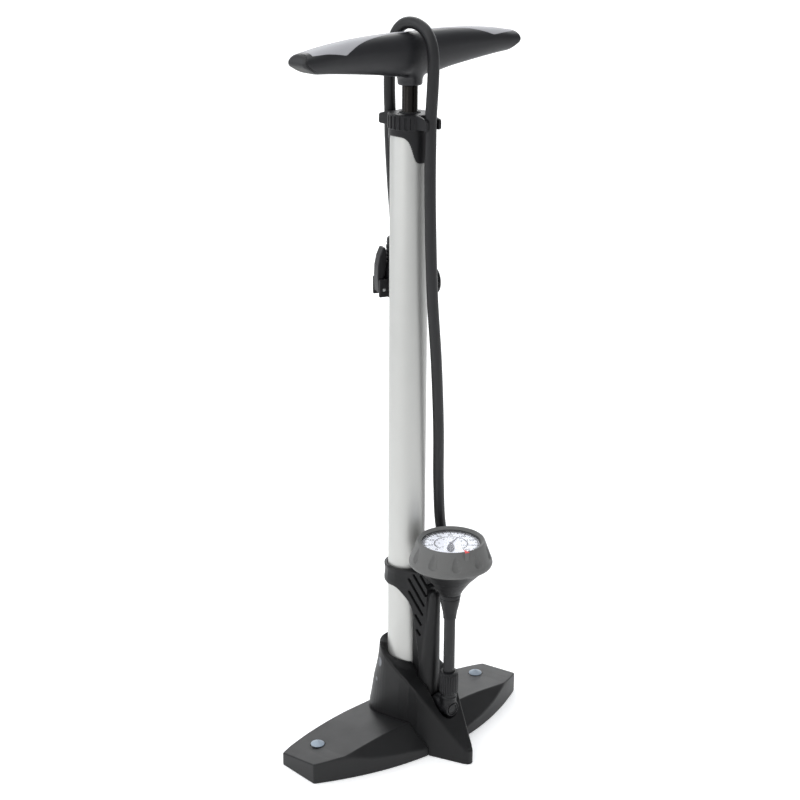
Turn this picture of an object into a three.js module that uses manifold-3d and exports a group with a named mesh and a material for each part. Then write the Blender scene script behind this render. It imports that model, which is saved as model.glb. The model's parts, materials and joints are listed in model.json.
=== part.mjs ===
// Floor bike pump: a tall hand pump with a T handle, a boat-shaped foot bar, a raised pressure
// gauge and a hose stowed over the handle. Millimetres, +Z up. Origin: floor level, on the barrel
// axis. +X runs along the foot bar and the handle, -Y points to the toe and the gauge (the front).
import * as THREE from 'three';
import * as BufferGeometryUtils from 'three/addons/utils/BufferGeometryUtils.js';
import Module from 'manifold-3d';

const wasm = await Module();
wasm.setup();

// ---- driving dimensions -------------------------------------------------------------------
const GAP = 0.3;                      // clearance between neighbouring pieces
const BARREL_R = 17.5;
const BARREL_INNER_R = 16;
const BARREL_BASE_Z = 56;             // top of the end plug's flange
const BARREL_TOP_Z = 609;
const BARREL_SEAT_R = BARREL_R + 0.35;
const ROD_R = 7;
const ROD_INNER_R = 5.6;
const ROD_Z0 = 90.3;
const ROD_Z1 = 668;
const CAP_R = 19.6;
const CAP_TOP_Z = 612;
const RISER_Y = -61.1;                // shared axis of gauge and outlet riser, parallel to the barrel
const OUTLET_Z = 49;                  // air outlet height
const HOSE_R = 5.3;
const HOSE_INNER_R = 3.5;
const BAR_HALF = 134.8;               // foot bar half length
const HANDLE_HALF = 132.6;            // handle half length at its furthest point
const HANDLE_TIP_Z = 666.8;           // height of that point
const PIN_Z = 657;                    // roll pin through handle and rod
const FRONT_LEG = [-0.8, -28];        // [x, y] of the hose legs beside the barrel cap
const REAR_LEG = [0, 25.6];
const HEAD_AXIS = [11.2, 30.4];       // [x, y] of the upright axis of the pump head
const SIDES = [-1, 1];

// ---- finishes -----------------------------------------------------------------------------
const BLACK = 0x2c2c2e;
const DARK = 0x232324;
const RUBBER = 0x18181a;
const STEEL = 0x8c8d8f;
const BRASS = 0xb89a52;
const FINISH = {
  matteBlack: { color: BLACK, roughness: 0.62 },
  black: { color: BLACK, roughness: 0.5 },
  satinBlack: { color: BLACK, roughness: 0.45 },
  glossBlack: { color: BLACK, roughness: 0.42 },
  dark: { color: DARK, roughness: 0.5 },
  satinDark: { color: DARK, roughness: 0.45 },
  glossDark: { color: DARK, roughness: 0.4 },
  charcoal: { color: 0x3a3a3c, roughness: 0.5 },
  rubber: { color: RUBBER, roughness: 0.7 },
  cupRubber: { color: RUBBER, roughness: 0.75 },
  footRubber: { color: 0x96a2ac, roughness: 0.5 },
  hose: { color: 0x1e1e20, roughness: 0.55 },
  steel: { color: STEEL, roughness: 0.35, metalness: 0.9 },
  brightSteel: { color: STEEL, roughness: 0.3, metalness: 0.9 },
  rodSteel: { color: 0x5a5a5c, roughness: 0.3, metalness: 0.9 },
  silver: { color: 0xcdcdcc, roughness: 0.35, metalness: 0.85 },
  brass: { color: BRASS, roughness: 0.4, metalness: 0.8 },
  brightBrass: { color: BRASS, roughness: 0.35, metalness: 0.9 },
  amber: { color: 0xd9c27a, roughness: 0.5 },
  offWhite: { color: 0xd8d8d2, roughness: 0.5 },
  dial: { color: 0xe8eaf2, roughness: 0.6 },
  needle: { color: 0x6a6c72, roughness: 0.5 },
  lens: { color: 0xdfe6ea, roughness: 0.05 },
  grey: { color: 0x707272, roughness: 0.6 },
  red: { color: 0xc8464b, roughness: 0.5 },
  lightGrey: { color: 0xafafb4, roughness: 0.5 },
  endGrey: { color: 0x4a4b49, roughness: 0.7 },
};

// ---- solids -------------------------------------------------------------------------------
// Manifold solid of a geometry; a solid passes through unchanged.
function solid(part) {
  if (!part.isBufferGeometry) return part;
  const bare = part.clone();
  for (const name of Object.keys(bare.attributes)) {
    if (name !== 'position') bare.deleteAttribute(name);
  }
  const merged = BufferGeometryUtils.mergeVertices(bare, 1e-4);
  return new wasm.Manifold(new wasm.Mesh({
    numProp: 3,
    vertProperties: new Float32Array(merged.attributes.position.array),
    triVerts: new Uint32Array(merged.index.array),
  }));
}
const cut = (body, ...tools) => tools.reduce((rest, tool) => rest.subtract(solid(tool)), solid(body));
const join = (body, ...parts) => parts.reduce((sum, part) => sum.add(solid(part)), solid(body));

function toGeometry(manifold) {
  const mesh = manifold.simplify(0.03).getMesh();   // merges the slivers that cutting leaves
  const geometry = new THREE.BufferGeometry();
  const positions = new Float32Array(mesh.vertProperties);
  geometry.setAttribute('position', new THREE.BufferAttribute(positions, 3));
  geometry.setIndex(new THREE.BufferAttribute(new Uint32Array(mesh.triVerts), 1));
  geometry.computeVertexNormals();
  return geometry;
}

const group = new THREE.Group();
function add(name, part, finish) {
  const geometry = part.isBufferGeometry ? part : toGeometry(part);
  const mesh = new THREE.Mesh(geometry, new THREE.MeshStandardMaterial(finish));
  mesh.name = name;
  group.add(mesh);
}

// ---- geometry helpers ---------------------------------------------------------------------
const radians = (degrees) => degrees * Math.PI / 180;
const polar = (radius, angle, x = 0, y = 0) =>
  [x + radius * Math.cos(angle), y + radius * Math.sin(angle)];
// The same points across the Y axis, in reverse order.
const mirrored = (points) => [...points].reverse().map(([x, y]) => [-x, y]);
// Stations on both sides of zero, from the positive ones.
const bothWays = (half, middle = []) => [...half.map((x) => -x).reverse(), ...middle, ...half];

// Straight-line lookup in a table of [position, value], held level past its ends.
function interpolate(table, at) {
  if (at <= table[0][0]) return table[0][1];
  for (let i = 1; i < table.length; i++) {
    const [start, from] = table[i - 1];
    const [end, to] = table[i];
    if (at <= end) return from + (to - from) * (at - start) / (end - start);
  }
  return table[table.length - 1][1];
}

// Rings of equal point count joined into one closed skin, with a flat fan on each end.
function loft(rings) {
  const count = rings[0].length;
  const positions = rings.flat().flatMap(({ x, y, z }) => [x, y, z]);
  const indices = [];
  for (let i = 0; i < rings.length - 1; i++) {
    for (let j = 0; j < count; j++) {
      const here = i * count + j;
      const next = i * count + (j + 1) % count;
      indices.push(here, next, next + count, here, next + count, here + count);
    }
  }
  const addCentre = (ring) => {
    const centre = new THREE.Vector3();
    for (const point of ring) centre.add(point);
    positions.push(...centre.multiplyScalar(1 / count).toArray());
    return positions.length / 3 - 1;
  };
  const startCentre = addCentre(rings[0]);
  const endCentre = addCentre(rings[rings.length - 1]);
  const last = (rings.length - 1) * count;
  for (let j = 0; j < count; j++) {
    indices.push(startCentre, (j + 1) % count, j);
    indices.push(endCentre, last + j, last + (j + 1) % count);
  }
  const geometry = new THREE.BufferGeometry();
  geometry.setAttribute('position', new THREE.Float32BufferAttribute(positions, 3));
  geometry.setIndex(indices);
  geometry.computeVertexNormals();
  return geometry;
}

// Facet count of a round piece, from its fine count.
const sides = (fine) => Math.max(8, Math.round(fine * 0.6));

// Turned body about the upright axis through (x, y). The profile is a list of [radius, z] that
// closes on itself or on the axis.
function turned(profile, fine, x = 0, y = 0) {
  const points = profile.map(([radius, z]) => new THREE.Vector2(radius, z));
  const onAxis = profile[0][0] === 0 && profile[profile.length - 1][0] === 0;
  if (!onAxis) points.push(points[0].clone());
  return new THREE.LatheGeometry(points, sides(fine)).rotateX(Math.PI / 2).translate(x, y, 0);
}
const tubeProfile = (outer, inner, z0, z1) => [[inner, z0], [outer, z0], [outer, z1], [inner, z1]];
const bore = (radius, z0, z1, fine = 40, x = 0, y = 0) =>
  turned([[0, z0], [radius, z0], [radius, z1], [0, z1]], fine, x, y);

// Straight cylinder between two points.
function bar(from, to, radius, fine) {
  const start = new THREE.Vector3(...from);
  const end = new THREE.Vector3(...to);
  const direction = end.clone().sub(start).normalize();
  const turn = new THREE.Quaternion().setFromUnitVectors(new THREE.Vector3(0, 0, 1), direction);
  return new THREE.CylinderGeometry(radius, radius, start.distanceTo(end), sides(fine))
    .rotateX(Math.PI / 2)
    .applyQuaternion(turn)
    .translate((start.x + end.x) / 2, (start.y + end.y) / 2, (start.z + end.z) / 2);
}

const box = (x0, x1, y0, y1, z0, z1) => new THREE.BoxGeometry(x1 - x0, y1 - y0, z1 - z0)
  .translate((x0 + x1) / 2, (y0 + y1) / 2, (z0 + z1) / 2);

function extrude(outline, depth) {
  const shape = new THREE.Shape(outline.map((point) => new THREE.Vector2(...point)));
  return new THREE.ExtrudeGeometry(shape, { depth, bevelEnabled: false });
}
// Plan outline extruded from z0 to z1.
const prism = (outline, z0, z1) => extrude(outline, z1 - z0).translate(0, 0, z0);
const AXIS_X = new THREE.Vector3(1, 0, 0);
const AXIS_Y = new THREE.Vector3(0, 1, 0);
const AXIS_Z = new THREE.Vector3(0, 0, 1);
const YZ_PLANE = new THREE.Matrix4().makeBasis(AXIS_Y, AXIS_Z, AXIS_X);
const XZ_PLANE = new THREE.Matrix4().makeBasis(AXIS_X, AXIS_Z, AXIS_Y.clone().negate());
// Outline of [y, z] extruded from x0 to x1.
const prismYZ = (outline, x0, x1) =>
  extrude(outline, x1 - x0).applyMatrix4(YZ_PLANE).translate(x0, 0, 0);
// Outline of [x, z] extruded from y0 to y1.
const prismXZ = (outline, y0, y1) =>
  extrude(outline, y1 - y0).applyMatrix4(XZ_PLANE).translate(0, y1, 0);

// Stations along a curve wherever it has turned enough or run far enough.
function bendStations(curve) {
  const SAMPLE = 1.5;        // spacing of the samples
  const MAX_TURN = 0.21;     // radians
  const MAX_RUN = 70;
  const length = curve.getLength();
  const count = Math.round(length / SAMPLE);
  const stations = [0];
  let lastTangent = curve.getTangentAt(0);
  let lastStation = 0;
  for (let i = 1; i < count; i++) {
    const station = i / count;
    const tangent = curve.getTangentAt(station);
    if (tangent.angleTo(lastTangent) > MAX_TURN || (station - lastStation) * length > MAX_RUN) {
      stations.push(station);
      lastTangent = tangent;
      lastStation = station;
    }
  }
  return [...stations, 1];
}

// Round section swept along a smooth curve through points, with `facets` sides. Rings stand at
// equal steps, or follow the bends when no steps are given.
function sweep(points, { radius, facets, steps }) {
  const path = points.map((point) => new THREE.Vector3(...point));
  const curve = new THREE.CatmullRomCurve3(path, false, 'centripetal');
  const stations = steps
    ? Array.from({ length: steps + 1 }, (_, i) => i / steps)
    : bendStations(curve);
  const startTangent = curve.getTangentAt(0).normalize();
  const normal = (Math.abs(startTangent.x) < 0.9 ? AXIS_X : AXIS_Z).clone();
  return loft(stations.map((station) => {
    const centre = curve.getPointAt(station);
    const tangent = curve.getTangentAt(station).normalize();
    // carry the last normal on, so that the rings don't twist
    normal.sub(tangent.clone().multiplyScalar(normal.dot(tangent))).normalize();
    const binormal = new THREE.Vector3().crossVectors(tangent, normal);
    return Array.from({ length: facets }, (_, j) => {
      const [across, up] = polar(radius, 2 * Math.PI * j / facets);
      return centre.clone().addScaledVector(normal, across).addScaledVector(binormal, up);
    });
  }));
}

// Pieces on the riser axis, and along the outlet from the barrel to the riser.
const onRiser = (profile, fine) => turned(profile, fine, 0, RISER_Y);
const riserBore = (radius, z0, z1, fine) => bore(radius, z0, z1, fine, 0, RISER_Y);
const outletBar = (y0, y1, radius, fine) => bar([0, y0, OUTLET_Z], [0, y1, OUTLET_Z], radius, fine);

// ---- base: foot bar and tower -------------------------------------------------------------
const BASE_SCREWS = [[-18, -26], [18, -26], [-17.5, 24], [17.5, 24]];   // [x, y]
const BASE_SCREW_HOLE_R = 2.3;
const BAR_SEAT_Z = 14;                // height of the bar where it passes under the tower
const FOOT_X = 106;
const FOOT_Y = 8;
const PLUG_R = 23.4;                  // flange of the barrel end plug
const PLUG_BASE_Z = 40;
const PLUG_POCKET_R = PLUG_R + 0.4;
const PLUG_SCREWS = [[20.6, 0], [-20.6, 0], [0, 20.6]];   // [x, y]
const PLUG_SCREW_HOLE_R = 1.75;

// Foot bar: boat-shaped plan, top sloping up to a ridge near the front, then a front facet.
// Tables of [distance from the middle, y or z].
const BAR_REAR_Y = [[0, 41], [40, 41], [55, 40], [90, 37.5], [120, 31], [135, 25.8]];
const BAR_REAR_Z = [[0, 18], [60, 16.5], [100, 14], [135, 13]];
const BAR_RIDGE_Y = [[0, -35], [49, -34], [109, -33], [122, -26], [135, -20.9]];
const BAR_RIDGE_Z = [[0, 30], [49, 29.5], [109, 24], [135, 20.5]];
const BAR_FRONT_Z = [
  [0, 8.5], [20, 8.7], [37, 11], [77, 16], [105, 22.5], [114, 23], [135, 20.3],
];
const BAR_STATIONS = bothWays([27, 36, 49, 65, 80, 95, 109, 122, BAR_HALF], [0]);
const BAR_FRONT_Y = -56;
const BAR_FRONT_BOW = 0.00194;        // parabola coefficient of the front edge
const barFront = (x) => BAR_FRONT_Y + BAR_FRONT_BOW * x * x;
const barRear = (x) => interpolate(BAR_REAR_Y, Math.abs(x));

function barRing(x) {
  const out = Math.abs(x);
  const front = barFront(x);
  const rear = barRear(x);
  const ridge = Math.max(interpolate(BAR_RIDGE_Y, out), front + 0.5);
  return [
    [front, 0],
    [rear, 0],
    [rear, interpolate(BAR_REAR_Z, out)],
    [ridge, interpolate(BAR_RIDGE_Z, out)],
    [front, interpolate(BAR_FRONT_Z, out)],
  ].map(([y, z]) => new THREE.Vector3(x, y, z));
}

// Tower: a flared skirt round the barrel that runs out into a pointed toe. Tables of [z, value].
const TOWER_HALF_WIDTH = [[0, 29], [25, 28.2], [50, 27.2], [75, 26.2], [98, 25.2], [110, 25]];
const TOWER_REAR = [
  [0, 39], [24, 38.5], [36, 36.5], [55, 33.6], [68, 30], [82, 27], [98, 25.2], [110, 25],
];
const TOWER_SQUARENESS = [[0, 2.8], [30, 2.7], [55, 2.4], [70, 2.2], [94, 2]];  // 2 is an ellipse
const TOE_TIP = [0, -93.6];
const TOE_SIDE = [[3.2, -92.6], [5.6, -89.2], [10.4, -78], [16.4, -63.9], [20.5, -54.7]];  // [x, y]
function towerPlan(z) {
  const halfWidth = interpolate(TOWER_HALF_WIDTH, z);
  const rear = interpolate(TOWER_REAR, z);
  const power = 2 / interpolate(TOWER_SQUARENESS, z);
  const half = [...TOE_SIDE, [halfWidth * 0.995, -33]];
  for (const angle of [0, 20, 40, 58, 75].map(radians)) {
    half.push([halfWidth * Math.cos(angle) ** power, rear * Math.sin(angle) ** power]);
  }
  return [TOE_TIP, ...half, [0, rear], ...mirrored(half)];
}
const towerSkin = () => loft([0, 12, 25, 38, 50, 62, 80, 110].map((z) =>
  towerPlan(z).map(([x, y]) => new THREE.Vector3(x, y, z))));
// Foot of the tower grown by the clearance.
const grownTower = () => loft([-2, 12, 25, 38, 50, 62].map((z) =>
  towerPlan(Math.max(z, 0)).map(([x, y]) => {
    const scale = 1 + GAP / Math.max(8, Math.hypot(x, y));
    return new THREE.Vector3(x * scale, y * scale, z);
  })));

// Space over the tower's sloping top, [y, z]: from the toe up past the barrel to the rear lip.
const TOWER_TOP_CUT = [
  [-130, 14.4], [-93.6, 14.4], [-91, 15.8], [-77.5, 28.5], [-63, 43.5], [-55, 52], [-47, 60],
  [-41, 65.5], [-29, 73], [-12, 80], [3, 88.5], [10, 94], [16, 96.6], [45, 98.5], [45, 140],
  [-130, 140],
];

// Column of the gauge bracket that stands in the tower: [z, centre y, radius].
const BRACKET_COLUMN = [
  [46, -31.6, 11], [70, -33, 9.8], [115, -35.9, 7.8], [135, -38, 6], [172, -41, 5],
];
const bracketColumn = (extra) => loft(BRACKET_COLUMN.map(([z, y, radius], i) =>
  Array.from({ length: 16 }, (_, j) => {
    const [across, along] = polar(radius + extra, 2 * Math.PI * j / 16);
    return new THREE.Vector3(across, y + along * 1.05, i === 0 ? z - extra : z);
  })));

function footBar() {
  const towerSeat = solid(grownTower()).intersect(solid(box(-80, 80, -120, 80, BAR_SEAT_Z, 200)));
  let body = cut(loft(BAR_STATIONS.map(barRing)), towerSeat);
  for (const [x, y] of BASE_SCREWS) {
    body = cut(body, bore(BASE_SCREW_HOLE_R, -1, 40, 12, x, y), bore(4.8, -1, 5, 16, x, y));
  }
  for (const side of SIDES) {
    const x = side * FOOT_X;
    body = cut(body, bore(11.3, -1, 3.3, 24, x, FOOT_Y), bore(3.8, -1, 40, 16, x, FOOT_Y));
  }
  return body;
}

function baseTower() {
  const stations = [-60, -27, 0, 27, 60];
  const barChannel = [
    ...stations.map((x) => [x, barFront(x) - GAP]),
    ...stations.toReversed().map((x) => [x, barRear(x) + GAP + 6]),
  ];
  return cut(
    towerSkin(),
    prismYZ(TOWER_TOP_CUT, -60, 60),
    prism(barChannel, -1, BAR_SEAT_Z + GAP),
    // barrel bore, plug seat and the opening below it
    bore(BARREL_SEAT_R, 50, 120),
    bore(PLUG_POCKET_R, PLUG_BASE_Z - GAP, BARREL_BASE_Z + GAP),
    bore(19.4, -5, 40),
    // bracket column and web
    bracketColumn(0.4),
    box(-6.9, 6.9, -36, -10, 45.6, 120),
    // outlet passage and elbow pocket
    outletBar(-15, -52, 6.4, 20),
    outletBar(-44, -71.5, 10, 24),
    box(-10, 10, -71.5, -44, OUTLET_Z, 110),
    ...PLUG_SCREWS.map(([x, y]) => bore(PLUG_SCREW_HOLE_R, 50, 65, 12, x, y)),
    ...BASE_SCREWS.map(([x, y]) => bore(BASE_SCREW_HOLE_R, 10, 36, 12, x, y)),
  );
}

const baseScrew = ([x, y]) =>
  turned([[0, 0.5], [4.4, 0.5], [4.4, 4.6], [2, 4.6], [2, 34], [0, 35]], 14, x, y);

// Pad under the bar with a stem and a barbed tip above the bar's top face.
function rubberFoot(side) {
  const barTop = 14 + 10 * (37 - FOOT_Y) / 70;   // the top face rises 10 in 70 from y = 37
  const z = barTop + 0.9;
  return turned([
    [0, 0], [11, 0], [11, 3], [3.5, 3], [3.5, z], [6.5, z], [6.2, z + 0.9], [3.2, z + 3],
    [0, z + 4.2],
  ], 24, side * FOOT_X, FOOT_Y);
}

add('foot_bar', footBar(), FINISH.matteBlack);
add('base_tower', baseTower(), FINISH.black);
BASE_SCREWS.forEach((place, i) => add(`base_screw_${i + 1}`, baseScrew(place), FINISH.steel));
add('rubber_foot_left', rubberFoot(-1), FINISH.footRubber);
add('rubber_foot_right', rubberFoot(1), FINISH.footRubber);

// ---- barrel and its lower end -------------------------------------------------------------
const barrel = () =>
  turned(tubeProfile(BARREL_R, BARREL_INNER_R, BARREL_BASE_Z + GAP, BARREL_TOP_Z), 40);

function barrelEndPlug() {
  const profile = [
    [0, PLUG_BASE_Z], [PLUG_R, PLUG_BASE_Z], [PLUG_R, BARREL_BASE_Z], [15.65, BARREL_BASE_Z],
    [15.65, 61.5], [14.2, 61.5], [14.2, 64.5], [15.65, 64.5], [15.65, 70], [0, 70],
  ];
  return cut(
    turned(profile, 40),
    bore(5.2, 39, 62, 20),
    bore(2.4, 61, 71, 14),
    outletBar(0, -30, 4.3, 16),
    ...PLUG_SCREWS.flatMap(([x, y]) => [
      bore(PLUG_SCREW_HOLE_R, 39, 57, 12, x, y),
      bore(2.9, 39, 43, 14, x, y),
    ]),
  );
}

const barrelOring = () => turned([
  [14.4, 62.9], [14.9, 62.1], [15.6, 62.1], [15.8, 62.9], [15.6, 63.9], [14.9, 63.9],
], 32);
const plugScrew = ([x, y]) =>
  turned([[0, 40.4], [2.6, 40.4], [2.6, 42.7], [1.45, 42.7], [1.45, 64], [0, 64.6]], 12, x, y);
const valvePoppet = () => turned([
  [0, 52.5], [1.5, 52.5], [1.5, 58.6], [4.7, 59], [4.7, 60.6], [3, 61.7], [0, 61.7],
], 20);

function valveSpring() {
  const POINTS = 32;
  const POINTS_PER_TURN = 8;
  const coil = Array.from({ length: POINTS + 1 }, (_, i) =>
    [...polar(3.2, i / POINTS_PER_TURN * 2 * Math.PI), 47.4 + 10.4 * i / POINTS]);
  return sweep(coil, { radius: 0.42, facets: 5, steps: 40 });
}

const valveRetainer = () => turned([
  [0, 40.3], [4.9, 40.3], [4.9, 45.6], [1.9, 45.6], [1.9, 50.5], [1.7, 50.8], [0, 50.8],
], 20);

add('barrel', barrel(), FINISH.silver);
add('barrel_end_plug', barrelEndPlug(), FINISH.charcoal);
add('barrel_oring', barrelOring(), FINISH.rubber);
PLUG_SCREWS.forEach((place, i) => add(`plug_screw_${i + 1}`, plugScrew(place), FINISH.steel));
add('check_valve_poppet', valvePoppet(), FINISH.amber);
add('check_valve_spring', valveSpring(), FINISH.brightSteel);
add('valve_retainer', valveRetainer(), FINISH.brass);

// ---- gauge bracket ------------------------------------------------------------------------
const COLLAR_Z0 = 163;
const COLLAR_Z1 = 181;
// Space under the arm between collar and column, [y, z].
const ARM_UNDERCUT = [
  [10, 90], [10, COLLAR_Z0], [-4, COLLAR_Z0], [-12.7, 155.6], [-18.9, 148.9], [-22.1, 142.9],
  [-23.6, 136.5], [-25.4, 123], [-27.5, 109], [-29, 90],
];
// Oblique slots through the web: start y, z, end y, z, width.
const WEB_SLOTS = [
  [-24, 177, -33, 163, 2.4],
  [-20.2, 171.5, -32.4, 150, 2.4],
  [-20.2, 159.5, -31.2, 140, 2.4],
  [-21.6, 134, -28.4, 125.5, 2.2],
  [-23.2, 118.6, -27.4, 114, 2.2],
];
// Outer profile of the gauge housing with clearance.
const HOUSING_SEAT = [
  [0, 143], [10.4, 143], [10.6, 169], [13, 173.3], [16.7, 178.7], [21.5, 184.7], [26.5, 189.7],
  [32.3, 196.3], [35.4, 198.5], [35.4, 230], [0, 230],
];

function webSlot([y0, z0, y1, z1, width]) {
  const length = Math.hypot(y1 - y0, z1 - z0);
  const offY = -(z1 - z0) / length * width / 2;
  const offZ = (y1 - y0) / length * width / 2;
  return prismYZ([
    [y0 - offY, z0 - offZ], [y1 - offY, z1 - offZ], [y1 + offY, z1 + offZ], [y0 + offY, z0 + offZ],
  ], -30, 30);
}

function gaugeBracket() {
  const arm = prism([[-19.9, -6], [-7.2, -37], [7.2, -37], [19.9, -6]], 100, COLLAR_Z1);
  const web = prism([[-6.5, -36], [6.5, -36], [6.5, -13], [-6.5, -13]], 50, COLLAR_Z1);
  const body = join(
    bore(21, COLLAR_Z0, COLLAR_Z1),
    cut(arm, prismYZ(ARM_UNDERCUT, -30, 30)),
    web,
    bracketColumn(0),
  );
  return cut(
    body,
    bore(BARREL_SEAT_R, 40, 200),
    bore(PLUG_POCKET_R, 30, BARREL_BASE_Z + GAP),
    ...WEB_SLOTS.map(webSlot),
    onRiser(HOUSING_SEAT, 40),
    outletBar(-10, -60, 6.9, 20),
  );
}

add('gauge_bracket', gaugeBracket(), FINISH.black);

// ---- air outlet: elbow, nut, feed hose ----------------------------------------------------
function elbowFitting() {
  const riser = [
    [0, 49], [7.6, 49], [7.6, 65.4], [5.6, 65.4], [5.6, 76], [3.1, 77], [3.1, 96], [0, 96],
  ];
  const body = join(
    outletBar(-14, -46, 3.9, 20),
    outletBar(-44.4, -67.4, 7.6, 24),
    onRiser(riser, 24),
  );
  const oringGroove = turned(tubeProfile(6, 3.2, 0, 2.4), 24)
    .rotateX(-Math.PI / 2)
    .translate(0, -21, OUTLET_Z);
  return cut(
    body,
    outletBar(-10, RISER_Y - 1.5, 1.8, 12),
    riserBore(1.8, 48, 100, 12),
    oringGroove,
  );
}

const elbowOring = () =>
  turned([[3.35, -0.7], [3.95, -0.7], [4, 0], [3.95, 0.7], [3.35, 0.7]], 24)
    .rotateX(Math.PI / 2)
    .translate(0, -19.8, OUTLET_Z);

function hoseNut() {
  const TEETH = 14;
  const outline = Array.from({ length: TEETH * 2 }, (_, i) =>
    polar(i % 2 ? 9.3 : 8.6, Math.PI * i / TEETH, 0, RISER_Y));
  const body = join(prism(outline, 65.8, 86), riserBore(8.3, 65.8, 87.4, 24));
  return cut(body, riserBore(5.95, 60, 90, 24));
}

const feedHose = () => onRiser(tubeProfile(5.4, HOSE_INNER_R, 77.6, 150.8), 24);
const strainRelief = () => onRiser([
  [5.9, 143.4], [6.4, 143.4], [7.8, 154], [9.5, 164.5], [9.9, 169.1], [3.6, 169.1],
  [3.6, 152.6], [5.9, 151.4],
], 28);

add('elbow_fitting', elbowFitting(), FINISH.glossDark);
add('elbow_oring', elbowOring(), FINISH.rubber);
add('hose_nut', hoseNut(), FINISH.satinDark);
add('feed_hose', feedHose(), FINISH.hose);
add('strain_relief', strainRelief(), FINISH.dark);

// ---- gauge --------------------------------------------------------------------------------
// The hose port leaves the housing sideways, to the right and rear.
const PORT_DIRECTION = new THREE.Vector3(0.787, 0.616, 0).normalize();
const PORT_Z = 175.6;
const onPort = (distance, z = PORT_Z) =>
  [PORT_DIRECTION.x * distance, RISER_Y + PORT_DIRECTION.y * distance, z];
const portBar = (from, to, radius, fine) => bar(onPort(from), onPort(to), radius, fine);

const HOUSING_PROFILE = [
  [1.5, 152], [3.2, 152], [3.2, 169.4], [10.2, 169.4], [12.5, 173.6], [16.2, 179], [21, 185],
  [26, 190], [31.8, 196.6], [34.6, 198.6], [34.6, 199.5], [32.6, 199.5], [32.6, 205],
  [28.7, 221.4], [27.5, 221.4], [27.5, 218.7], [25.8, 218.7], [25.8, 198], [19, 191], [1.5, 191],
];
function gaugeHousing() {
  const portBoss = cut(portBar(9, 19.4, 5.8, 20), riserBore(3, 164, 184, 16));
  return cut(
    join(onRiser(HOUSING_PROFILE, 40), portBoss),
    portBar(0, 21, 3.5, 16),
    riserBore(1.5, 151, 191, 10),
  );
}

const hoseBarb = () => cut(portBar(5, 23.4, 2.7, 16), portBar(4, 28, 1.5, 10));
const movementPlate = () => solid(onRiser(tubeProfile(25.4, 2.2, 200.1, 201.6), 28));

// C-shaped pressure tube.
function bourdonTube() {
  const arc = Array.from({ length: 25 }, (_, i) =>
    [...polar(20.5, radians(-60 + 250 * i / 24), 0, RISER_Y), 208.2]);
  return sweep(arc, { radius: 2, facets: 6, steps: 16 });
}

// Toothless pitch sector beside the needle arbor, with a tail.
function sectorGear() {
  const x = 9.6;
  const outline = Array.from({ length: 7 }, (_, i) =>
    polar(7.9, radians(155 + 50 * i / 6), x, RISER_Y));
  for (const [along, across] of [[0, -2.2], [5, -1.6], [5, 1.6], [0, 2.2]]) {
    outline.push([x + along, RISER_Y + across]);
  }
  return join(prism(outline, 202.2, 203.5), bore(2.3, 202, 205.6, 16, x, RISER_Y));
}

const gaugeDial = () => solid(onRiser(tubeProfile(27.2, 2.4, 219, 219.8), 40));

// A slim pointer along +X and a drop-shaped counterweight set 23.1 degrees off its line.
function needlePlan() {
  // counterweight: [distance from the arbor, half width]
  const drop = [[2, 1.6], [5, 2.6], [9, 3.35], [12, 3.45], [15, 3.1], [17.5, 2.3], [19, 1.2]];
  const [cos, sin] = polar(1, radians(203.1));
  const place = ([along, across]) => [cos * along + sin * across, sin * along - cos * across];
  const farSide = drop.map(([along, across]) => [along, -across]).reverse();
  return [
    [14.3, -0.25], [14.3, 0.25], [1.4, 1.1],
    ...[...drop, [19.5, 0], ...farSide].map(place),
    [1.4, -1.1],
  ];
}
// Needle, its hub and its arbor with the pinion.
function gaugeNeedle() {
  const arbor = onRiser([
    [0, 202.2], [1.3, 202.2], [1.3, 204.6], [0.9, 204.6], [0.9, 220.05], [2.4, 220.05],
    [2.4, 220.5], [0, 220.6],
  ], 16);
  const blade = solid(prism(needlePlan(), 220.05, 220.5));
  return join(arbor, blade.rotate([0, 0, 21.6]).translate([0, RISER_Y, 0]));
}

const gaugeLens = () => riserBore(27.2, 220.8, 221.4, 40);

const MARKER_ANGLE = radians(-108.5);
const toMarker = (geometry) => geometry.rotateZ(MARKER_ANGLE).translate(0, RISER_Y, 0);
const BEZEL_PROFILE = [
  [33, 199.9], [36.8, 199.9], [38.4, 200.6], [39, 202.2], [38.7, 204.2], [37.7, 206.5],
  [32.1, 222.2], [31.6, 223.5], [30.7, 224.1], [30, 224], [27.4, 222.3], [27.2, 221.8],
  [29, 221.8], [33, 205.2],
];
const gaugeBezel = () =>
  cut(onRiser(BEZEL_PROFILE, 40), toMarker(box(24, 45, -2.3, 2.3, 215.6, 230)));
const bezelMarker = () => toMarker(prismXZ([
  [27.6, 224.5], [34.3, 224.5], [34.3, 216], [30.9, 216], [29.4, 221.9], [27.6, 221.9],
], -2, 2));

add('gauge_housing', gaugeHousing(), FINISH.satinBlack);
add('hose_barb', hoseBarb(), FINISH.brass);
add('movement_plate', movementPlate(), FINISH.brass);
add('bourdon_tube', bourdonTube(), FINISH.brightBrass);
add('sector_gear', sectorGear(), FINISH.brightBrass);
add('gauge_dial', gaugeDial(), FINISH.dial);
add('gauge_needle', gaugeNeedle(), FINISH.needle);
add('gauge_lens', gaugeLens(), FINISH.lens);
add('gauge_bezel', gaugeBezel(), FINISH.grey);
add('bezel_marker', bezelMarker(), FINISH.red);

// ---- barrel cap and what it holds ---------------------------------------------------------
const CAP_PROFILE = [
  [9.4, 584.6], [15.6, 584.6], [15.6, 609.3], [BARREL_SEAT_R, 609.3], [BARREL_SEAT_R, 563],
  [18.8, 563], [18.8, 597.6], [CAP_R, 599], [CAP_R, 610.6], [18.4, CAP_TOP_Z], [9.4, CAP_TOP_Z],
];
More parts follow.
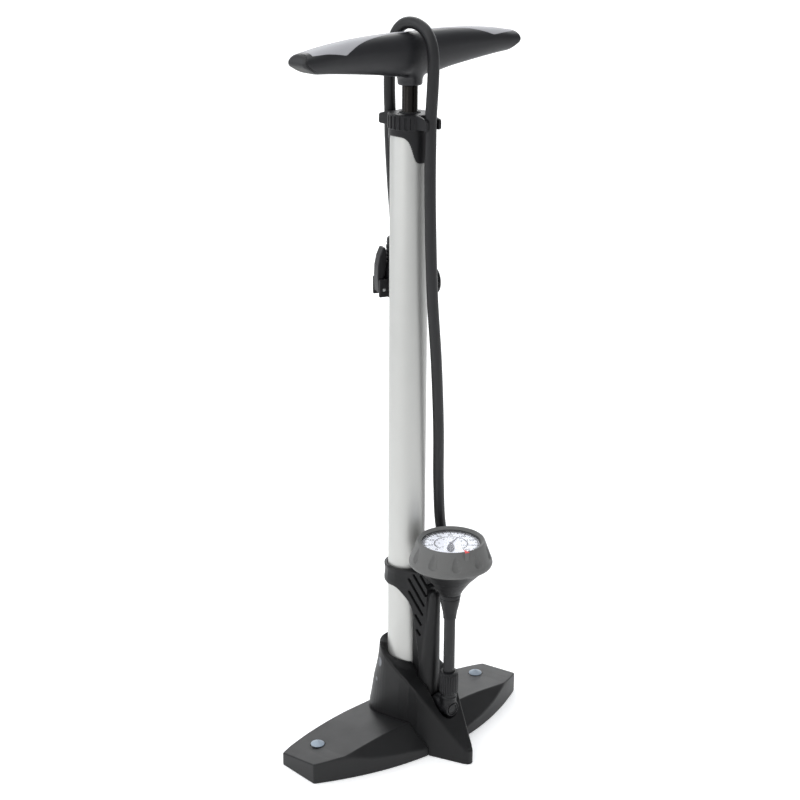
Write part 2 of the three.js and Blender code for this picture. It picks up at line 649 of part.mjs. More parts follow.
// Right half of the space below the skirt, [x, z]; it leaves a tongue at the front and the rear.
const SKIRT_CUT = [
  [40, 540], [40, 593], [16.5, 592.4], [13.3, 589.2], [11, 583], [8.7, 574.6], [7.2, 571.2],
  [4.6, 569.5],
];
// Ear that holds the hose, [distance from the barrel axis, z].
const EAR_OUTLINE = [
  [15, 599.4], [30.4, 599.8], [31.2, 600.6], [31.2, 607.6], [30.2, 608.8], [20, 611.6],
  [15, 611.8],
];

function capEar(side, x) {
  const outline = EAR_OUTLINE.map(([y, z]) => [side * y, z]);
  if (side < 0) outline.reverse();   // same winding on both sides
  return cut(prismYZ(outline, x - 1.5, x + 1.5), bore(17.9, 560, 620));
}

function barrelCap() {
  const GROOVES = 24;
  const skirtCut = [...SKIRT_CUT, [0, 569.2], ...mirrored(SKIRT_CUT)];
  let body = cut(turned(CAP_PROFILE, 40), prismXZ(skirtCut, -40, 40));
  for (const side of SIDES) {
    const leg = side < 0 ? FRONT_LEG : REAR_LEG;
    body = join(body, capEar(side, -7.4), capEar(side, 7.4));
    body = cut(body, bar([...leg, 560], [...leg, 630], 5.85, 20));
  }
  for (let i = 0; i < GROOVES; i++) {
    const angle = (i + 0.5) / GROOVES * 2 * Math.PI;
    const nearEars = Math.abs(Math.cos(angle)) < 0.66;
    if (!nearEars) body = cut(body, box(18.9, 21, -0.8, 0.8, 600, 610).rotateZ(angle));
  }
  return body;
}

const rodBush = () => turned(tubeProfile(9.1, 7.3, 584.9, 606.4), 28);
const rodWiper = () =>
  turned([[7.3, 606.8], [9.1, 606.8], [9.1, 611.6], [7.9, 612.4], [7.3, 612.4]], 28);
const topOutBumper = () => turned([
  [7.5, 575.5], [14.6, 575.5], [15.2, 576.5], [15.2, 583.4], [14.6, 584.3], [7.5, 584.3],
], 28);

add('barrel_cap', barrelCap(), FINISH.satinDark);
add('rod_bush', rodBush(), FINISH.offWhite);
add('rod_wiper', rodWiper(), FINISH.rubber);
add('top_out_bumper', topOutBumper(), FINISH.rubber);

// ---- piston and rod -----------------------------------------------------------------------
// Cross bar through handle and rod at the roll pin.
const pinBar = (halfLength, radius) =>
  bar([0, -halfLength, PIN_Z], [0, halfLength, PIN_Z], radius, 14);
const PIN_HOLE_R = 2.2;

const pistonRod = () =>
  cut(turned(tubeProfile(ROD_R, ROD_INNER_R, ROD_Z0, ROD_Z1), 28), pinBar(12, PIN_HOLE_R));
const piston = () => turned([
  [2.3, 78], [15.3, 78], [15.5, 79], [15.5, 83], [13.8, 83.5], [13.8, 86], [15.5, 86.5],
  [15.5, 89], [15, 90], [5.3, 90], [5.3, 104], [2.3, 104],
], 32);
const cupSeal = () => turned([
  [2.4, 75.6], [12.6, 75.6], [13.6, 73.4], [15.2, 72.2], [15.75, 72.4], [15.7, 76.5],
  [14.8, 77.7], [2.4, 77.7],
], 32);
const pistonBolt = () => turned([
  [0, 72.6], [4.4, 72.6], [4.8, 73], [4.8, 75.3], [2.05, 75.3], [2.05, 108], [0, 108.6],
], 18);

add('piston_rod', pistonRod(), FINISH.rodSteel);
add('piston', piston(), FINISH.offWhite);
add('piston_cup_seal', cupSeal(), FINISH.cupRubber);
add('piston_bolt', pistonBolt(), FINISH.brightSteel);

// ---- handle -------------------------------------------------------------------------------
// Tables of [distance from the middle, value].
const GRIP_TOP_Z = [
  [0, 681.6], [20, 681.9], [42, 681.6], [62, 680.8], [80, 679.4], [101, 677], [118, 674],
  [131, 672],
];
const GRIP_BOTTOM_Z = [
  [0, 644.6], [10, 644.8], [22, 645.6], [42, 648.7], [62, 651.2], [81, 653.6], [100, 655.4],
  [118, 656.6], [131, 657.8],
];
const GRIP_HALF_DEPTH = [
  [0, 15.4], [12, 15], [25, 14.2], [45, 13.6], [70, 13.4], [95, 13.1], [112, 12.7],
  [122, 12.2], [131, 11.4],
];
const GRIP_STATIONS = bothWays([14, 38, 62, 92, 118, 134]);
const signedPower = (value, power) => Math.sign(value) * Math.abs(value) ** power;

function gripRing(x, inset) {
  const out = Math.abs(x);
  const top = interpolate(GRIP_TOP_Z, out) - inset;
  const bottom = interpolate(GRIP_BOTTOM_Z, out) + inset;
  const halfDepth = interpolate(GRIP_HALF_DEPTH, out) - inset;
  const power = 0.78 + 0.12 * Math.max(0, 1 - out / 40);
  // an inset core runs past the ends of the skin
  const ringX = x + (inset && out > 130 ? Math.sign(x) * 4 : 0);
  return Array.from({ length: 12 }, (_, j) => {
    const [across, up] = polar(1, 2 * Math.PI * j / 12);
    return new THREE.Vector3(
      ringX,
      halfDepth * signedPower(across, power),
      (top + bottom) / 2 + (top - bottom) / 2 * signedPower(up, power),
    );
  });
}
const grip = (inset) => solid(loft(GRIP_STATIONS.map((x) => gripRing(x, inset))));
const gripSkin = grip(0);

// Space inboard of an end face, moved in by an offset. The face looks outwards and down, and
// above its tip a slope runs back to the top of the grip.
const END_LEAN = 1.65;
const END_BACK = 1.2;
function endHalf(side, offset) {
  const x = HANDLE_HALF - Math.hypot(1, END_LEAN) * offset;
  const outline = [
    [x - 40 * END_BACK, HANDLE_TIP_Z + 40],
    [x + 240, HANDLE_TIP_Z + 40],
    [x + 240, HANDLE_TIP_Z - 100],
    [x - 100 * END_LEAN, HANDLE_TIP_Z - 100],
    [x, HANDLE_TIP_Z],
  ].map(([along, z]) => [side * along, z]);
  if (side > 0) outline.reverse();   // same winding on both sides
  return solid(prismXZ(outline, -60, 60));
}

const INLAY_Z = 662;                  // floor of the cut that makes the inlay recess
// Inlay half plan: [distance from the middle, half width].
const INLAY_HALF = [
  [6, 1.2], [20, 2.6], [45, 4.4], [62, 6.4], [76, 9.4], [86, 12.6], [90, 12.9], [96, 11.6],
  [106, 10.2], [118, 8.2], [124, 5],
];
function inlayPlan(side, grow) {
  const rear = INLAY_HALF.map(([x, y]) => {
    const shift = x < 10 ? -grow : x > 120 ? grow : 0;
    return [side * (x + shift), y + grow];
  });
  const front = rear.map(([x, y]) => [x, -y]).reverse();
  const outline = [...rear, ...front];
  return side > 0 ? outline.reverse() : outline;   // same winding on both sides
}

function handleBody() {
  const core = grip(1.8);
  const stem = [[0, 636], [10.6, 636], [11.35, 637.5], [11.6, 652], [0, 652]];
  const body = cut(
    gripSkin,
    ...SIDES.map((side) => cut(prism(inlayPlan(side, GAP), INLAY_Z, 700), core)),
    ...SIDES.map((side) => endHalf(side, 2.3)),
  );
  return cut(
    join(body, turned(stem, 28)),
    bore(ROD_R + 0.3, 630, ROD_Z1 + 0.4, 28),
    pinBar(20, PIN_HOLE_R),
  );
}

function handleInlay(side) {
  const plan = solid(prism(inlayPlan(side, 0), INLAY_Z + GAP, 700));
  return cut(gripSkin.intersect(plan), grip(1.5), endHalf(side, 2.3));
}

const handleEndCap = (side) => cut(gripSkin, endHalf(side, 0)).intersect(endHalf(side, 2));

add('handle_body', handleBody(), FINISH.glossBlack);
for (const side of SIDES) {
  const name = side < 0 ? 'left' : 'right';
  add(`handle_inlay_${name}`, handleInlay(side), FINISH.lightGrey);
  add(`handle_end_cap_${name}`, handleEndCap(side), FINISH.endGrey);
}
add('handle_roll_pin', pinBar(14.4, 1.9), FINISH.steel);

// ---- delivery hose ------------------------------------------------------------------------
// [x, y, z] between the hose's two ends.
const HOSE_MIDDLE = [
  // out of the gauge port and up the front
  onPort(24), onPort(28, PORT_Z + 0.6),
  [28.6, -37.4, 176], [31, -32, 182], [29.5, -24.5, 197], [25.6, -20.8, 216],
  [20.6, -21.8, 262], [16, -25.4, 320], [9.5, -28.2, 385], [3, -28.6, 450], [0, -28, 520],
  [-0.8, -27.8, 560], [-0.8, -27.8, 585], [...FRONT_LEG, 610], [-0.4, -29.2, 634],
  [0, -29.6, 652],
  // over the handle
  [0, -28.9, 665], [0, -26, 675], [0, -20, 683], [0, -12, 687.4], [0, -3, 689.2],
  [0, 6.4, 688.1], [0, 14.8, 683.2], [0, 21, 674.6], [0, 24.8, 662], [0, 26.6, 646],
  // down the rear to the pump head
  [0, 26.8, 628], [0, 25.9, 608], [...REAR_LEG, 590], [2.4, 24.6, 545], [6.2, 26.3, 522],
  [10.4, 29.7, 507], [...HEAD_AXIS, 497], [...HEAD_AXIS, 488],
];
function deliveryHose() {
  const outer = [onPort(20.2), ...HOSE_MIDDLE, [...HEAD_AXIS, 477]];
  const inner = [onPort(19), ...HOSE_MIDDLE, [...HEAD_AXIS, 476]];
  return cut(
    sweep(outer, { radius: HOSE_R, facets: 10 }),
    sweep(inner, { radius: HOSE_INNER_R, facets: 6 }),
  );
}

add('delivery_hose', deliveryHose(), FINISH.hose);

// ---- pump head ----------------------------------------------------------------------------
const [HEAD_X, HEAD_Y] = HEAD_AXIS;
const NOZZLE = new THREE.Vector3(0.94, -0.342, 0).normalize();   // nozzle direction
const NOZZLE_ANGLE = Math.atan2(NOZZLE.y, NOZZLE.x);
const NOZZLE_Z = 448;
const PIVOT = -14.6;                  // lever pivot, measured along the nozzle direction
const PIVOT_Z = 446;
const PIVOT_HOLE_R = 1.75;
const onHead = (along, z, across = 0) => [
  HEAD_X + NOZZLE.x * along - NOZZLE.y * across,
  HEAD_Y + NOZZLE.y * along + NOZZLE.x * across,
  z,
];
const nozzleBar = (from, to, radius, fine) =>
  bar(onHead(from, NOZZLE_Z), onHead(to, NOZZLE_Z), radius, fine);
const pivotBar = (half, radius) =>
  bar(onHead(PIVOT, PIVOT_Z, -half), onHead(PIVOT, PIVOT_Z, half), radius, 12);
// Moves a geometry drawn with the nozzle along +X onto the head.
const toHead = (geometry, z = 0) => geometry.rotateZ(NOZZLE_ANGLE).translate(HEAD_X, HEAD_Y, z);

function headBody() {
  const post = [
    [0, 437], [8.6, 437], [10.6, 439], [10.8, 462], [9.4, 470], [8.6, 486], [0, 486],
  ];
  const shell = cut(
    join(turned(post, 24, ...HEAD_AXIS), nozzleBar(0, 29, 9.6, 24)),
    nozzleBar(-20, 40, 6.2, 20),
    bore(6.1, 474.6, 490, 20, ...HEAD_AXIS),
    bore(1.8, 444, 476, 10, ...HEAD_AXIS),
  );
  // cheeks for the lever, on the side away from the nozzle
  const cheeks = [7.6, -7.6].map((y) => toHead(box(-19, -6, y - 1.5, y + 1.5, 439, 456)));
  return cut(join(shell, ...cheeks), nozzleBar(-20, 0, 6.2, 20), pivotBar(12, PIVOT_HOLE_R));
}

function headLever() {
  const outline = [
    [-18.6, 442.6], [-16.8, 442.2], [-12.6, 443], [-12, 449], [-13.6, 456], [-13.4, 482],
    [-16, 485], [-18.4, 483], [-19.4, 466],
  ];
  return cut(toHead(prismXZ(outline, -5.6, 5.6)), pivotBar(8, PIVOT_HOLE_R));
}

const headPlunger = () => cut(
  nozzleBar(-10.4, 9, 5.8, 18),
  nozzleBar(-4, 12, 1.5, 10),
  bore(4.3, NOZZLE_Z, 470, 12, ...HEAD_AXIS),
);
const valveSeal = () => cut(nozzleBar(13.2, 34, 5.8, 18), nozzleBar(12, 36, 2.6, 12));

function nozzleCap() {
  const GROOVES = 12;
  const grooves = Array.from({ length: GROOVES }, (_, i) =>
    toHead(box(31.5, 40.2, -0.9, 0.9, 11.4, 14).rotateX(i / GROOVES * 2 * Math.PI), NOZZLE_Z));
  return cut(
    join(nozzleBar(29.4, 41.6, 12.2, 28), nozzleBar(25, 30, 11.2, 28)),
    nozzleBar(20, 36.6, 9.95, 24),
    nozzleBar(30, 45, 4.2, 16),
    ...grooves,
  );
}

const hoseFerrule = () =>
  turned([[6.3, 486.4], [8.4, 486.4], [7.6, 492], [6.7, 493], [6.3, 493]], 24, ...HEAD_AXIS);

add('head_body', headBody(), FINISH.satinDark);
add('head_lever', headLever(), FINISH.black);
add('lever_pin', solid(pivotBar(9, 1.45)), FINISH.brightSteel);
add('head_plunger', headPlunger(), FINISH.charcoal);
add('valve_seal', valveSeal(), FINISH.rubber);
add('nozzle_cap', nozzleCap(), FINISH.satinDark);
add('hose_ferrule', hoseFerrule(), FINISH.dark);

export default group;
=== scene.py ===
"""Floor pump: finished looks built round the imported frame.

The barrel stands upright round the Z axis, the foot bar runs along X, and the toe of the base
points to -Y (the front), with the gauge above it. Left is -X. Lengths in the modelling code are
millimetres, and meshes are written in metres.
"""
import itertools
import json
import math

import bmesh
import bpy
import numpy as np
from mathutils import Matrix, Vector

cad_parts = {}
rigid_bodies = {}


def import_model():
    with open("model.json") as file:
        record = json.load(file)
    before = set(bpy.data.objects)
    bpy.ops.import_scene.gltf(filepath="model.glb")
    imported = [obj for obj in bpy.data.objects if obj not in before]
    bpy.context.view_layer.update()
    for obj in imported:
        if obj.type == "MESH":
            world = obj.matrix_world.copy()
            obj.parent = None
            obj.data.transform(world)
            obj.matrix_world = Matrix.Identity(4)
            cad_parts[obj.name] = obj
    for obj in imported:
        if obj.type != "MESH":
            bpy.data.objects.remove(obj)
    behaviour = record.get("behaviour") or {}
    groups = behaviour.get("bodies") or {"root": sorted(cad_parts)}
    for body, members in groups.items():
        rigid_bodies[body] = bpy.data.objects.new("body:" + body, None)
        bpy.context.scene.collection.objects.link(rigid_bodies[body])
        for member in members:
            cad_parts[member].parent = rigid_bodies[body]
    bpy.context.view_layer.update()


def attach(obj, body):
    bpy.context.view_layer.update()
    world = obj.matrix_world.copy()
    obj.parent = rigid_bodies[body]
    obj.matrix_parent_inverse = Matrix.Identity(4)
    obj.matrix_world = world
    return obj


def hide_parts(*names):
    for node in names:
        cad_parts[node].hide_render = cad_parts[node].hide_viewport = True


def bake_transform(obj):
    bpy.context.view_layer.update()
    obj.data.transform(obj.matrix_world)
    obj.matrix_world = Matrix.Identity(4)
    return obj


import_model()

MM = 0.001
PI = math.pi

# ------------------------------------------------------------------ shared dimensions
BARREL_R = 17.5
SEAT_R = BARREL_R + 0.35  # sockets the barrel stands in
GAUGE_Y = -61.1  # axis of the gauge, its feed hose and the elbow's upright
OUTLET_Z = 49.0  # height of the elbow's level tube
FOOT_X, FOOT_Y = 106, 8
HEAD_X, HEAD_Y = 11.2, 30.4  # upright axis of the pump head
END_LEAN = 1.65  # run of x per rise of z on the handle's oblique ends
HANDLE_TILT = 0.010  # rise of the handle towards +X
CAMERA_AZIMUTH = -132.4  # degrees round +Z from +X, as seen from the pump

# finger scoops in the tower's flanks: |x|, y, z, depth, half height
SCOOPS = ((28.4, 12.6, 77.5, 5.0, 7.4), (29.4, 17.2, 57.2, 4.6, 5.4))


# ------------------------------------------------------------------ tables and distance fields
def smooth_table(rows, x):
    """Monotone cubic through rows of (x, value), level past the ends."""
    xs, ys = np.asarray(rows, float).T
    x = np.clip(np.asarray(x, float), xs[0], xs[-1])
    width = np.diff(xs)
    slope = np.diff(ys) / width
    before, after = slope[:-1], slope[1:]
    total = before + after
    total = np.where(np.abs(total) < 1e-12, 1e-12, total)
    knot = np.zeros(len(xs))
    knot[1:-1] = np.where(before * after > 0, 2 * before * after / total, 0)
    knot[0], knot[-1] = slope[0], slope[-1]
    i = np.clip(np.searchsorted(xs, x, side="right") - 1, 0, len(width) - 1)
    t = (x - xs[i]) / width[i]
    return (
        (2 * t**3 - 3 * t**2 + 1) * ys[i]
        + (t**3 - 2 * t**2 + t) * width[i] * knot[i]
        + (3 * t**2 - 2 * t**3) * ys[i + 1]
        + (t**3 - t**2) * width[i] * knot[i + 1]
    )


# Fields are negative inside. Points come as an (n, 3) array, and soft is the blend width.
def smin(a, b, soft):
    share = np.clip(0.5 + 0.5 * (b - a) / soft, 0, 1)
    return b + (a - b) * share - soft * share * (1 - share)


def smax(a, b, soft):
    return -smin(-a, -b, soft)


def cut(body, hole, soft):
    return smax(body, -hole, soft)


def between(value, low, high):
    return np.maximum(low - value, value - high)


def drum(radial, radius, along, low, high, soft):
    """Round bar from low to high along its axis; soft holds the low and high edge widths."""
    return smax(smax(radial - radius, along - high, soft[1]), low - along, soft[0])


def rib_offset(angle, count):
    """Angle to the nearest of count evenly spaced grooves."""
    pitch = 2 * PI / count
    return np.abs((angle / pitch) % 1.0 - 0.5) * pitch


def poly_sd(u, v, outline):
    """Distance to a closed polygon in the plane."""
    outline = np.asarray(outline, float)
    nearest = np.full(u.shape, 1e18)
    sign = np.ones(u.shape)
    for i in range(len(outline)):
        ax, ay = outline[i]
        bx, by = outline[i - 1]
        ex, ey = bx - ax, by - ay
        wx, wy = u - ax, v - ay
        t = np.clip((wx * ex + wy * ey) / (ex * ex + ey * ey), 0, 1)
        nearest = np.minimum(nearest, (wx - ex * t) ** 2 + (wy - ey * t) ** 2)
        above, below, left = v >= ay, v < by, ex * wy > ey * wx
        flip = (above & below & left) | (~above & ~below & ~left)
        sign = np.where(flip, -sign, sign)
    return sign * np.sqrt(nearest)


def box_sd(pts, low, high, edge):
    """Box with rounded edges."""
    low, high = np.asarray(low, float), np.asarray(high, float)
    q = np.abs(pts - (low + high) / 2) - (high - low) / 2 + edge
    return np.minimum(q.max(1), 0) + np.sqrt((np.maximum(q, 0) ** 2).sum(1)) - edge


# ------------------------------------------------------------------ meshes
def link(name, mesh):
    ob = bpy.data.objects.new(name, mesh)
    bpy.context.scene.collection.objects.link(ob)
    return ob


def build(name, verts, quads, tris=(), normals=None, smooth=True):
    """Mesh object from millimetre points, quads and triangles."""
    mesh = bpy.data.meshes.new(name)
    verts = np.asarray(verts, np.float64) * MM
    quads = np.asarray(quads, int).reshape(-1, 4)
    tris = np.asarray(tris, int).reshape(-1, 3)
    mesh.vertices.add(len(verts))
    mesh.vertices.foreach_set("co", verts.astype(np.float32).ravel())
    loops = np.concatenate([quads.ravel(), tris.ravel()]).astype(np.int32)
    mesh.loops.add(len(loops))
    mesh.loops.foreach_set("vertex_index", loops)
    starts = [np.arange(len(quads)) * 4, len(quads) * 4 + np.arange(len(tris)) * 3]
    starts = np.concatenate(starts).astype(np.int32)
    mesh.polygons.add(len(starts))
    mesh.polygons.foreach_set("loop_start", starts)
    mesh.polygons.foreach_set("use_smooth", np.full(len(starts), smooth))
    mesh.update(calc_edges=True)
    mesh.validate()
    if normals is not None:
        mesh.normals_split_custom_set_from_vertices(np.asarray(normals, float).tolist())
    return link(name, mesh)


def crease(ob, degrees):
    """Keeps edges steeper than this sharp in the shading."""
    mesh = ob.data
    count = len(mesh.polygons)
    normals = np.zeros(count * 3)
    mesh.polygons.foreach_get("normal", normals)
    normals = normals.reshape(-1, 3)
    loop_edge = np.zeros(len(mesh.loops), int)
    mesh.loops.foreach_get("edge_index", loop_edge)
    total = np.zeros(count, int)
    mesh.polygons.foreach_get("loop_total", total)
    order = np.argsort(loop_edge, kind="stable")
    edge, face = loop_edge[order], np.repeat(np.arange(count), total)[order]
    paired = edge[:-1] == edge[1:]
    cosine = (normals[face[:-1][paired]] * normals[face[1:][paired]]).sum(1)
    flags = np.zeros(len(mesh.edges), bool)
    flags[edge[:-1][paired][cosine < math.cos(math.radians(degrees))]] = True
    sharp = mesh.attributes.get("sharp_edge")
    sharp = sharp or mesh.attributes.new("sharp_edge", "BOOLEAN", "EDGE")
    sharp.data.foreach_set("value", flags)


BLOCK = 8  # grid steps along a block of the coarse first pass


def net(name, field, low, high, step):
    """Closed surface where the field is zero, found on a grid and moved onto the exact surface."""
    low, high = np.asarray(low, float) - 2 * step, np.asarray(high, float) + 2 * step
    blocks = np.maximum(np.ceil((high - low) / step / BLOCK).astype(int), 1)
    dims = blocks * BLOCK + 1
    centres = [low[i] + (np.arange(blocks[i]) + 0.5) * BLOCK * step for i in range(3)]
    centres = np.stack(np.meshgrid(*centres, indexing="ij"), -1).reshape(-1, 3)
    coarse = field(centres).reshape(blocks)

    def spread(values):
        return values.repeat(BLOCK, 0).repeat(BLOCK, 1).repeat(BLOCK, 2)

    # grid points in blocks near the surface get exact values, the rest keep the coarse ones
    grid = np.pad(spread(coarse), (0, 1), mode="edge").astype(np.float32)
    near = np.abs(coarse) < BLOCK * step * 0.87 * 1.35 + 0.5
    mask = np.pad(spread(near), (0, 1))
    for axis in range(3):
        view = np.moveaxis(mask, axis, 0)
        view[1:] |= view[:-1].copy()
    index = np.argwhere(mask)
    values = np.empty(len(index), np.float32)
    chunk = 400000
    for i in range(0, len(index), chunk):
        values[i : i + chunk] = field(low + index[i : i + chunk] * step)
    grid[mask] = values
    inside = grid < 0

    # one vertex in each cell the surface crosses, at the mean of its edge crossings
    corners = list(itertools.product((0, 1), repeat=3))
    ni, nj, nk = dims - 1
    count = np.zeros((ni, nj, nk), np.int8)
    for i, j, k in corners:
        count += inside[i : ni + i, j : nj + j, k : nk + k]
    active = (count > 0) & (count < 8)
    cells = np.argwhere(active)
    ids = np.full(active.shape, -1, np.int64)
    ids[active] = np.arange(len(cells))
    total = np.zeros((len(cells), 3))
    crossings = np.zeros(len(cells))
    for start in corners:
        for axis in range(3):
            if start[axis]:
                continue
            end = list(start)
            end[axis] = 1
            f0 = grid[tuple((cells + start).T)]
            f1 = grid[tuple((cells + end).T)]
            cross = (f0 < 0) != (f1 < 0)
            spot = np.tile(np.asarray(start, float), (len(cells), 1))
            spot[:, axis] += np.where(cross, f0 / np.where(cross, f0 - f1, 1), 0)
            total[cross] += spot[cross]
            crossings[cross] += 1
    verts = low + (cells + total / crossings[:, None]) * step

    # one quad round each grid edge the surface crosses
    quads = []
    for axis in range(3):
        o1, o2 = [(1, 2), (2, 0), (0, 1)][axis]
        first = np.moveaxis(inside, axis, 0)[:-1]
        second = np.moveaxis(inside, axis, 0)[1:]
        edges = np.argwhere(np.moveaxis(first != second, 0, axis))
        for other in (o1, o2):
            edges = edges[(edges[:, other] > 0) & (edges[:, other] < dims[other] - 1)]

        def cell(back1, back2):
            c = edges.copy()
            c[:, o1] -= back1
            c[:, o2] -= back2
            return ids[tuple(c.T)]

        quad = np.stack([cell(1, 1), cell(0, 1), cell(0, 0), cell(1, 0)], 1)
        flip = ~inside[tuple(edges.T)]
        quad[flip] = quad[flip][:, ::-1]
        quads.append(quad)
    quads = np.concatenate(quads)
    quads = quads[(quads >= 0).all(1)]

    def gradient(at):
        out = np.empty_like(at)
        for axis in range(3):
            nudge = np.zeros(3)
            nudge[axis] = 0.02
            out[:, axis] = (field(at + nudge) - field(at - nudge)) / 0.04
        return out

    for _ in range(3):
        slope = gradient(verts)
        steep = np.maximum((slope**2).sum(1), 0.05)
        move = -(field(verts) / steep)[:, None] * slope
        length = np.linalg.norm(move, axis=1, keepdims=True)
        verts = verts + move * np.minimum(1, 0.5 * step / np.maximum(length, 1e-9))
    slope = gradient(verts)
    normals = slope / np.maximum(np.linalg.norm(slope, axis=1, keepdims=True), 1e-9)
    return build(name, verts, quads, normals=normals)


def round_poly(profile, steps=4):
    """Closed polygon of (u, v[, radius]) with each corner that has a radius made an arc."""
    out = []
    for i, corner in enumerate(profile):
        radius = corner[2] if len(corner) > 2 else 0
        here = np.array(corner[:2], float)
        if radius <= 0 or here[0] < 1e-6:
            out.append(tuple(here))
            continue
        back = np.array(profile[i - 1][:2], float) - here
        ahead = np.array(profile[(i + 1) % len(profile)][:2], float) - here
        back_len, ahead_len = np.linalg.norm(back), np.linalg.norm(ahead)
        back, ahead = back / back_len, ahead / ahead_len
        angle = math.acos(max(-1, min(1, float(back @ ahead))))
        if angle > PI * 0.985:
            out.append(tuple(here))
            continue
        trim = radius / max(math.tan(angle / 2), 1e-6)
        trim = min(trim, back_len * 0.48, ahead_len * 0.48)
        radius = trim * math.tan(angle / 2)
        middle = (back + ahead) / np.linalg.norm(back + ahead)
        centre = here + middle * (radius / math.sin(angle / 2))
        start, end = here + back * trim - centre, here + ahead * trim - centre
        a0, a1 = math.atan2(start[1], start[0]), math.atan2(end[1], end[0])
        sweep = (a1 - a0 + PI) % (2 * PI) - PI
        for k in range(steps + 1):
            a = a0 + sweep * k / steps
            x, y = centre[0] + radius * math.cos(a), centre[1] + radius * math.sin(a)
            out.append((float(x), float(y)))
    return out


def lathe(name, profile, x=0.0, y=0.0, seg=128, sharp=32):
    """Turned body from a closed profile of (radius, z[, edge radius])."""
    points = round_poly(profile)
    turn = 2 * PI * np.arange(seg) / seg
    verts, rings = [], []
    for radius, z in points:
        start = len(verts)
        if radius < 1e-6:
            verts.append((x, y, z))
        else:
            ring = (x + radius * np.cos(turn), y + radius * np.sin(turn), np.full(seg, z))
            verts.extend(zip(*ring))
        rings.append(range(start, len(verts)))
    area = sum(a[0] * b[1] - b[0] * a[1] for a, b in zip(points[-1:] + points, points))
    quads, tris = [], []
    for a, b in zip(rings, rings[1:] + rings[:1]):
        if len(a) == 1 and len(b) == 1:
            continue
        for j in range(seg):
            k = (j + 1) % seg
            if len(a) == 1:
                face = (a[0], b[k], b[j])
            elif len(b) == 1:
                face = (a[j], a[k], b[0])
            else:
                face = (a[j], a[k], b[k], b[j])
            if area < 0:
                face = face[::-1]
            (tris if len(face) == 3 else quads).append(face)
    ob = build(name, verts, quads, tris)
    crease(ob, sharp)
    return ob


def ring_mesh(name, rings, sharp):
    """Surface over equal rings of points, the last ring joined back to the first."""
    seg = len(rings[0])
    j = np.arange(seg)
    k = (j + 1) % seg
    quads = []
    for i in range(len(rings)):
        a, b = i * seg, ((i + 1) % len(rings)) * seg
        quads.append(np.stack([a + j, a + k, b + k, b + j], 1))
    ob = build(name, np.concatenate(rings), np.concatenate(quads))
    crease(ob, sharp)
    return ob


def tube(name, path, tangents, radius, bore, seg):
    """Hose with its bore along a path."""
    normal = np.array((1.0, 0.0, 0.0))
    turn = 2 * PI * np.arange(seg) / seg
    outer, inner = [], []
    for point, tangent in zip(path, tangents):
        normal = normal - tangent * (normal @ tangent)
        normal /= np.linalg.norm(normal)
        binormal = np.cross(tangent, normal)
        circle = np.cos(turn)[:, None] * normal + np.sin(turn)[:, None] * binormal
        outer.append(point + radius * circle)
        inner.append(point + bore * circle)
    return ring_mesh(name, outer + inner[::-1], sharp=50)


def catmull(points, step):
    """Points at near-equal steps on a centripetal curve through these, with unit tangents."""
    points = [np.asarray(point, float) for point in points]
    points = [2 * points[0] - points[1]] + points + [2 * points[-1] - points[-2]]
    out = []
    for i in range(1, len(points) - 2):
        four = points[i - 1 : i + 3]
        knots = [0.0]
        for a, b in zip(four, four[1:]):
            knots.append(knots[-1] + max(np.linalg.norm(b - a), 1e-6) ** 0.5)
        count = max(2, int(np.linalg.norm(four[2] - four[1]) / step * 2))
        for t in np.linspace(knots[1], knots[2], count, endpoint=False):

            def mix(i0, i1, a, b):
                t0, t1 = knots[i0], knots[i1]
                return (t1 - t) / (t1 - t0) * a + (t - t0) / (t1 - t0) * b

            once = [mix(k, k + 1, four[k], four[k + 1]) for k in range(3)]
            twice = [mix(k, k + 2, once[k], once[k + 1]) for k in range(2)]
            out.append(mix(1, 2, *twice))
    out.append(points[-2])
    out = np.array(out)
    run = np.cumsum(np.linalg.norm(np.diff(out, axis=0), axis=1))
    run = np.concatenate([[0], run])
    even = np.linspace(0, run[-1], max(2, int(round(run[-1] / step))) + 1)
    path = np.stack([np.interp(even, run, out[:, k]) for k in range(3)], 1)
    for _ in range(2):
        path[1:-1] = (path[:-2] + 2 * path[1:-1] + path[2:]) / 4
    tangents = np.gradient(path, axis=0)
    tangents /= np.linalg.norm(tangents, axis=1, keepdims=True)
    return path, tangents


def plate(name, outline, low, high, edge):
    """Flat plate from a counter-clockwise plan outline, its upper and lower edges rounded."""
    outline = np.asarray(outline, float)
    count = len(outline)

    def inset(distance):
        out = []
        for i in range(count):
            here = outline[i]
            u, v = here - outline[i - 1], outline[(i + 1) % count] - here
            u, v = u / max(np.linalg.norm(u), 1e-9), v / max(np.linalg.norm(v), 1e-9)
            mitre = np.array([-u[1] - v[1], u[0] + v[0]])
            out.append(here + mitre / max(mitre @ mitre, 0.6) * 2 * distance)
        return out

    layers = []
    for level, inward, degrees in ((low, 1, (90, 60, 30, 0)), (high, -1, (0, 30, 60, 90))):
        for a in np.radians(degrees):
            z = level + inward * edge * (1 - math.sin(a))
            layers.append((inset(edge * (1 - math.cos(a))), z))
    verts = [(x * MM, y * MM, z * MM) for layer, z in layers for x, y in layer]
    faces = []
    for i in range(len(layers) - 1):
        for j in range(count):
            a, b = i * count + j, i * count + (j + 1) % count
            faces.append((a, b, b + count, a + count))
    top = (len(layers) - 1) * count
    faces += [tuple(reversed(range(count))), tuple(range(top, top + count))]
    mesh = bpy.data.meshes.new(name)
    mesh.from_pydata(verts, [], faces)
    mesh.polygons.foreach_set("use_smooth", [True] * len(mesh.polygons))
    mesh.update()
    ob = link(name, mesh)
    crease(ob, 35)
    return ob


